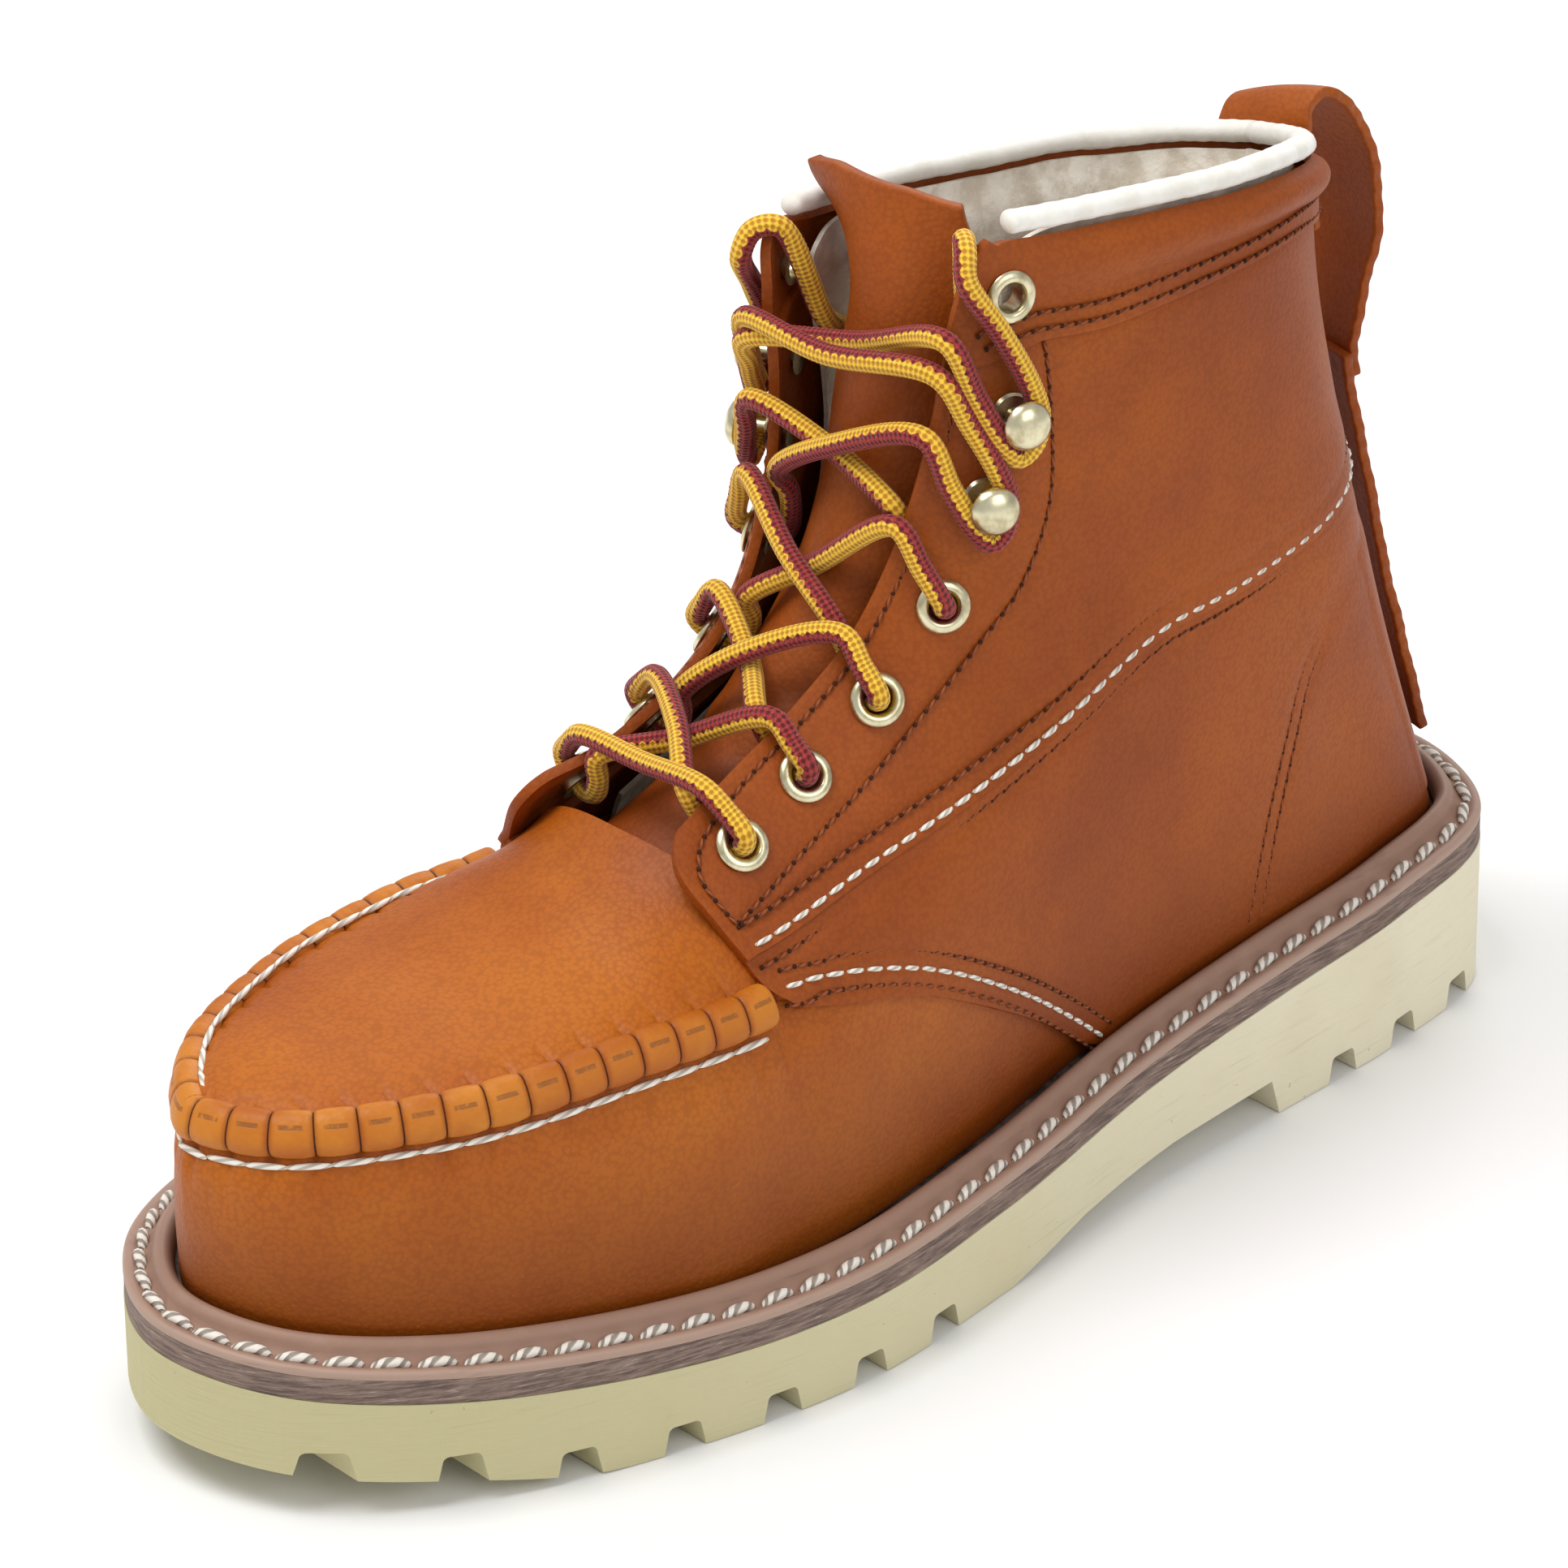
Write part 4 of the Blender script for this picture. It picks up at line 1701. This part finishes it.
@dataclass
class Fastener:
    """Place of one eyelet or hook on the leather."""

    station: float
    v: float
    kind: Kind

    EYELETS = ((4.33, 0.86), (4.86, 0.868), (5.42, 0.868), (6.02, 0.865), (7.3, 0.95))
    HOOKS = ((6.58, 0.88), (7.0, 0.887))

    @classmethod
    def eyelet(cls, side: int, i: int) -> "Fastener":
        """Eyelet of a side, counted from the toe."""
        s, v = cls.EYELETS[i]
        return cls(s if side > 0 else 20 - s, v, Kind.EYELET)

    @classmethod
    def hook(cls, side: int, i: int) -> "Fastener":
        """Hook of a side, counted from the toe."""
        s, v = cls.HOOKS[i]
        return cls(s if side > 0 else 20 - s, v, Kind.HOOK)

    @property
    def is_eyelet(self) -> bool:
        """True for an eyelet."""
        return self.kind is Kind.EYELET

    def on(self, topward: float, v: float, out: float) -> Points:
        """Point on the leather, moved along the facing by stations."""
        return LAST.upper(self.station + (topward if self.station < 10 else -topward), v, LEATHER + out)

    @property
    def centre(self) -> Points:
        """Its middle on the leather."""
        return self.on(0, self.v, 0)

    @property
    def normal(self) -> Points:
        """Its outward direction."""
        return unit(self.on(0, self.v, 1) - self.centre)

    @property
    def v_mm(self) -> float:
        """Height fraction of a millimetre."""
        return 0.02 / float(np.linalg.norm(self.on(0, self.v + 0.02, 0) - self.centre))

    @property
    def reach(self) -> float:
        """Distance to the facing edge."""
        return (1 - self.v) / self.v_mm

    def at(self, edgeward: float, outward: float, topward: float = 0.0) -> Points:
        """Point on or off the leather.

        Args:
            edgeward: distance towards the facing edge.
            outward: distance off the leather.
            topward: distance up along the facing.

        Returns:
            The point.
        """
        up = topward * 0.05 / float(np.linalg.norm(self.on(0.05, self.v, 0) - self.centre))
        if edgeward <= self.reach:
            return self.on(up, self.v + edgeward * self.v_mm, outward)
        rim = self.on(up, 1.0, outward)
        return rim + unit(rim - self.on(up, 0.98, outward)) * (edgeward - self.reach)

    def frame(self) -> Matrix:
        """Matrix that puts a part turned about Z, in metres, here."""
        z = Vector(self.normal)
        turn = z.to_track_quat("Z", "Y").to_matrix().to_4x4()
        return Matrix.Translation(Vector((self.centre + SHIFT) * MM)) @ turn


@dataclass
class Hardware:
    """Rolled eyelets and domed speed hooks."""

    eyelet: tuple[tuple[float, float], ...] = (
        (2.6, -3.4), (3.9, -3.3), (3.0, -2.8), (2.95, 0.3), (4.75, 0.32), (4.88, 0.55), (4.7, 0.85),
        (4.3, 1.12),
        (3.8, 1.3), (3.3, 1.3), (2.9, 1.1), (2.66, 0.7), (2.55, 0.1), (2.55, -3.4),
    )
    hook: tuple[tuple[float, float], ...] = (
        (0.01, -3.2), (3.1, -3.1), (1.5, -2.7), (1.5, 0.3), (4.0, 0.4), (3.6, 0.95), (1.7, 1.3), (1.45, 2.2),
        (1.45, 5.2), (2.6, 5.55), (4.1, 5.95), (4.45, 6.5), (4.25, 7.2), (3.5, 7.95), (2.3, 8.5), (1.1, 8.75),
        (0.01, 8.82),
    )

    def build(self, looks: Finishes) -> None:
        """Makes one of each and copies it to every place."""
        ring = Bench.turned("eyelet_pattern", (*self.eyelet, self.eyelet[0]), 40)
        knob = Bench.turned("hook_pattern", self.hook, 36)
        Bench.soften(knob, 55)
        for side, word in ((1, "outer"), (-1, "inner")):
            for i in range(5):
                place = Fastener.eyelet(side, i).frame()
                name = f"{word}_eyelet_{i + 1}"
                hand_over(Bench.copy(ring, f"{name}_ring", place), "boot", "hardware", [looks.plate], name)
            for i in range(2):
                place = Fastener.hook(side, i).frame()
                name = f"{word}_hook_{i + 1}"
                hand_over(Bench.copy(knob, f"{name}_knob", place), "boot", "hardware", [looks.plate], name)
        Bench.discard(ring)
        Bench.discard(knob)


@dataclass
class Lace:
    """Round lace: a bar over the first pair, then crossed up to the hooks, ends tucked inside."""

    radius: float = 1.95
    bar: float = 3.0
    over: float = 4.4
    under: float = 0.4
    tail_depth: float = -6.8
    plait: float = 1.9
    tail: tuple[tuple[float, float], ...] = (
        (7.1, 0.93), (7.25, 0.88), (7.5, 0.83), (7.75, 0.77), (7.9, 0.72), (7.97, 0.66), (8, 0.62),
    )

    def enter(self, f: Fastener) -> list[Points]:
        """From the facing edge over the leather and down an eyelet."""
        return [
            f.at(f.reach + 1.5, 2.9), f.at(f.reach * 0.55, 3.5), f.at(1.3, 3.3), f.at(0, 1.2), f.at(0, -2),
        ]

    def leave(self, f: Fastener) -> list[Points]:
        """From under an eyelet out past the facing edge."""
        return [f.at(0.8, -4.9), f.at(3.4, -6.2), f.at(f.reach * 0.9, -4.9), f.at(f.reach + 4, -2.2)]

    def middle(self, f: Fastener, g: Fastener, lift: float) -> list[Points]:
        """Point half way between two fittings, lifted."""
        point = (f.at(f.reach, 0) + g.at(g.reach, 0)) / 2
        return [point + unit(f.normal + g.normal) * lift]

    def around(self, f: Fastener) -> list[Points]:
        """Loop round a hook's neck from below."""
        return [
            f.at(f.reach + 1.5, 3.2, -4.8), f.at(f.reach * 0.55, 3.9, -5.4), f.at(1.5, 4.1, -5.3),
            f.at(-3.6, 3.9, -4),
            f.at(-5.3, 3.9, 0), f.at(-3.6, 3.9, 4), f.at(1.5, 4.1, 5.3), f.at(f.reach * 0.55, 3.9, 5.4),
            f.at(f.reach + 1.5, 3.2, 4.8),
        ]

    def end(self, f: Fastener, side: int) -> list[Points]:
        """End that goes over the facing edge and down inside."""
        tail = [LAST.upper(s if side > 0 else 20 - s, v, self.tail_depth) for s, v in self.tail]
        return [f.at(f.reach + 3.2, 0.9, 7.6), f.at(f.reach + 2, -3.2, 9.4), *tail]

    def route(self) -> list[Points]:
        """Whole route from one tucked end to the other."""
        near = [Fastener.eyelet(1, i) for i in range(5)]
        far = [Fastener.eyelet(-1, i) for i in range(5)]
        near_hook = [Fastener.hook(1, i) for i in range(2)]
        far_hook = [Fastener.hook(-1, i) for i in range(2)]
        first = [*reversed(self.enter(near[0])), *self.middle(near[0], far[0], self.bar), *self.enter(far[0])]
        near_chain = [
            *self.leave(near[0]), *self.middle(near[0], far[1], self.over), *self.enter(far[1]),
            *self.leave(far[1]),
            *self.middle(far[1], near[2], self.over), *self.enter(near[2]), *self.leave(near[2]),
            *self.middle(near[2], far[3], self.over), *self.enter(far[3]), *self.leave(far[3]),
            *self.middle(far[3], near_hook[0], self.over), *self.around(near_hook[0]),
            *self.middle(near_hook[0], far_hook[1], self.over + 1), *self.around(far_hook[1]),
        ]
        far_chain = [
            *self.leave(far[0]), *self.middle(far[0], near[1], self.under), *self.enter(near[1]),
            *self.leave(near[1]), *self.middle(near[1], far[2], self.under), *self.enter(far[2]),
            *self.leave(far[2]), *self.middle(far[2], near[3], self.under), *self.enter(near[3]),
            *self.leave(near[3]), *self.middle(near[3], far_hook[0], self.under), *self.around(far_hook[0]),
            *self.middle(far_hook[0], near_hook[1], self.under), *self.around(near_hook[1]),
        ]
        back = [*near_chain, *self.end(far_hook[1], -1)]
        return [*reversed(back), *first, *far_chain, *self.end(near_hook[1], 1)]

    def turned_out(self, line: Points) -> tuple[Points, Points]:
        """Crosswise directions; the first keeps turning out of the boot, so that both colours show."""
        _, first, second = carried(line, np.array([0.3, 0.1, 1.0]))
        out = np.array([0.35, -0.75, 0.56])
        turn = (first @ out) + 1j * (second @ out)
        bell = np.exp(-np.linspace(-3, 3, 61) ** 2)
        turn = np.convolve(turn, bell / bell.sum(), mode="same")
        turn = turn / np.maximum(np.abs(turn), 1e-9)
        c, s = turn.real[:, None], turn.imag[:, None]
        return first * c + second * s, second * c - first * s

    def build(self, looks: Finishes) -> None:
        """Makes and dresses the lace."""
        fine = spline(self.route(), 40)
        length = length_of(fine)
        steps = int(length / 0.475)
        line = resampled(fine, steps + 1)
        count = round(length / self.plait)

        def girth(a: Points, angle: Points) -> Points:
            u = a * count * 2 * math.pi
            ridge = np.sin(u + 5 * angle) * np.sin(u - 5 * angle)
            end = np.clip(np.minimum(a, 1 - a) * steps, 0, 1)
            size = self.radius * (1 + 0.045 * ridge) * end
            return np.stack([size, size], axis=1)

        cord = Bench.tube("braided_lace", line, 20, girth, sides=self.turned_out(line))
        Bench.stretch_uv(cord, count, 1.0)
        LOG.info("lace length %.3f m", length * MM)
        hand_over(cord, "boot", "lace_cord", [looks.braid], "lace")


@dataclass
class Tongue:
    """Padded leather tongue, raw at its edges."""

    thick: float = 3.2

    def panel(self) -> bpy.types.Object:
        """Tongue with soft creases where the ankle bends."""
        def place(a: Points, b: Points) -> Points:
            side = 0.94 * (1 - 2 * b)
            flare = smooth(a, 0.84, 1.02)
            out = 0.35 * np.sin(math.pi * b) + 0.8 * hump(a, 0.42, 0.05) * np.sin(b * 9 + 1) * 0.5
            out = out - 0.7 * hump(a, 0.3, 0.03) + 0.5 * hump(a, 0.36, 0.025)
            tip = 0.994 * a - 0.012 * smooth(np.abs(side), 0.4, 1.0) * smooth(a, 0.8, 1.0)
            point = LAST.tongue(tip, side, out)
            ridge = LAST.tongue_ridge(tip)
            open_tip = np.stack([
                -1.2 + 18.5 * side,
                ridge[:, 0] + 8.0 * np.maximum(side, 0) ** 2 + 2.5 * np.minimum(side, 0) ** 2,
                ridge[:, 1] - 1.0 * side**2,
            ], axis=1)
            return point + (open_tip - point) * flare[:, None]

        leaf = Bench.sheet("tongue_leather", 190, 70, place)
        Bench.crumple(leaf, 14, 0.35, 61)
        Bench.crumple(leaf, 38, 0.7, 62)
        Bench.wall(leaf, self.thick - 0.4, 0.5)
        return leaf

    def build(self, looks: Finishes) -> None:
        """Makes and dresses the tongue."""
        hand_over(self.panel(), "tongue", "tan_leather", [looks.neck, looks.suede], "tongue")


@dataclass
class Footbed:
    """Cloth-faced footbed, cupped at its rim."""

    inset: float = 24.0
    low: float = 10.0
    high: float = 14.0

    def build(self, looks: Finishes) -> None:
        """Makes and dresses the footbed."""
        def place(a: Points, b: Points) -> Points:
            s = 5 - 5 * np.cos(math.pi * a)
            inset = self.inset + 14 * np.maximum(0, 1 - s / 4.5)
            inner, outer = LAST.edge(-s, inset), LAST.edge(s, inset)
            flat = inner + (outer - inner) * b[:, None]
            cup = np.abs(2 * b - 1) ** 4 * 1.2 * np.sin(math.pi * a) - 0.8
            return np.concatenate([flat, (LAST.wedge_top.one(flat[:, 1]) + self.high + cup)[:, None]], axis=1)

        pad = Bench.sheet("footbed_cloth_pad", 150, 30, place)
        Bench.close(pad)
        if Bench.read(pad, "normal")[:, 2].mean() < 0:
            pad.data.flip_normals()
        Bench.crumple(pad, 24, 0.25, 71)
        Bench.wall(pad, self.high - self.low - 1.0, 0.5)
        hand_over(pad, "footbed", "footbed_cloth", [looks.footbed, looks.footbed], "footbed")


@dataclass
class Studio:
    """Camera, floor and soft light."""

    lens: float = 177.0
    place: tuple[float, float, float] = (0.90135, -0.81875, 0.7164)
    right: tuple[float, float, float] = (0.67062, 0.74174, -0.00944)
    up: tuple[float, float, float] = (-0.33779, 0.31668, 0.88635)
    back: tuple[float, float, float] = (0.66043, -0.59121, 0.46293)

    def camera(self) -> None:
        """Long lens, a little above the boot, from its outer front side."""
        data = bpy.data.cameras.new("view")
        data.lens = self.lens
        data.sensor_width = 36
        data.clip_end = 50
        cam = bpy.data.objects.new("view", data)
        bpy.context.scene.collection.objects.link(cam)
        turn = Matrix((self.right, self.up, self.back)).transposed().to_4x4()
        cam.matrix_world = Matrix.Translation(self.place) @ turn
        bpy.context.scene.camera = cam

    def lamp(self, name: str, place: tuple[float, float, float], size: float, power: float) -> None:
        """Square soft light aimed at the boot."""
        data = bpy.data.lights.new(name, "AREA")
        data.size, data.energy = size, power
        lamp = bpy.data.objects.new(name, data)
        bpy.context.scene.collection.objects.link(lamp)
        lamp.location = place
        lamp.rotation_euler = (Vector((0, 0, 0.08)) - Vector(place)).to_track_quat("-Z", "Y").to_euler()

    def build(self, looks: Finishes) -> None:
        """Sets the studio."""
        Bench.clear()
        bpy.ops.mesh.primitive_grid_add(x_subdivisions=8, y_subdivisions=8, size=30)
        floor = bpy.context.object
        floor.name = "studio_floor"
        floor.data.transform(Matrix.Translation((0, 0, -0.0002)))
        floor.data.materials.append(looks.floor)
        self.lamp("key", (-0.35, -0.8, 2.1), 1.2, 34)
        self.lamp("side", (1.8, -0.1, 1.3), 1.4, 11)
        self.lamp("rim", (-0.9, 1.5, 1.3), 1.2, 14)
        world = bpy.data.worlds.new("studio")
        world.use_nodes = True
        shade = world.node_tree.nodes["Background"]
        shade.inputs[0].default_value = (1, 1, 1, 1)
        shade.inputs[1].default_value = 0.56
        bpy.context.scene.world = world
        bpy.context.scene.view_settings.view_transform = "Standard"


def dress_hidden(looks: Finishes) -> None:
    """Gives the carried-over nodes inside the boot their finishes."""
    finishes = {
        "cork_filler": looks.cork, "heel_filler": looks.cork, "shank_plate": looks.steel,
        "insole_board": looks.board, "heel_counter": looks.board, "steel_toe_cap": looks.steel,
        "vamp_lining": looks.lining, "aglet_outer": looks.tip, "aglet_inner": looks.tip,
    }
    for name, finish in finishes.items():
        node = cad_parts[name]
        for slot in node.material_slots:
            slot.material = finish


def main() -> None:
    """Builds the boot in order."""
    logging.basicConfig(level=logging.INFO, format="%(name)s: %(message)s")
    looks = Finishes()
    Studio().build(looks)
    Studio().camera()
    Lace().build(looks)
    SoleUnit().build(looks)
    Upper().build(looks)
    Hardware().build(looks)
    Tongue().build(looks)
    Footbed().build(looks)
    dress_hidden(looks)


if __name__ == "__main__":
    main()
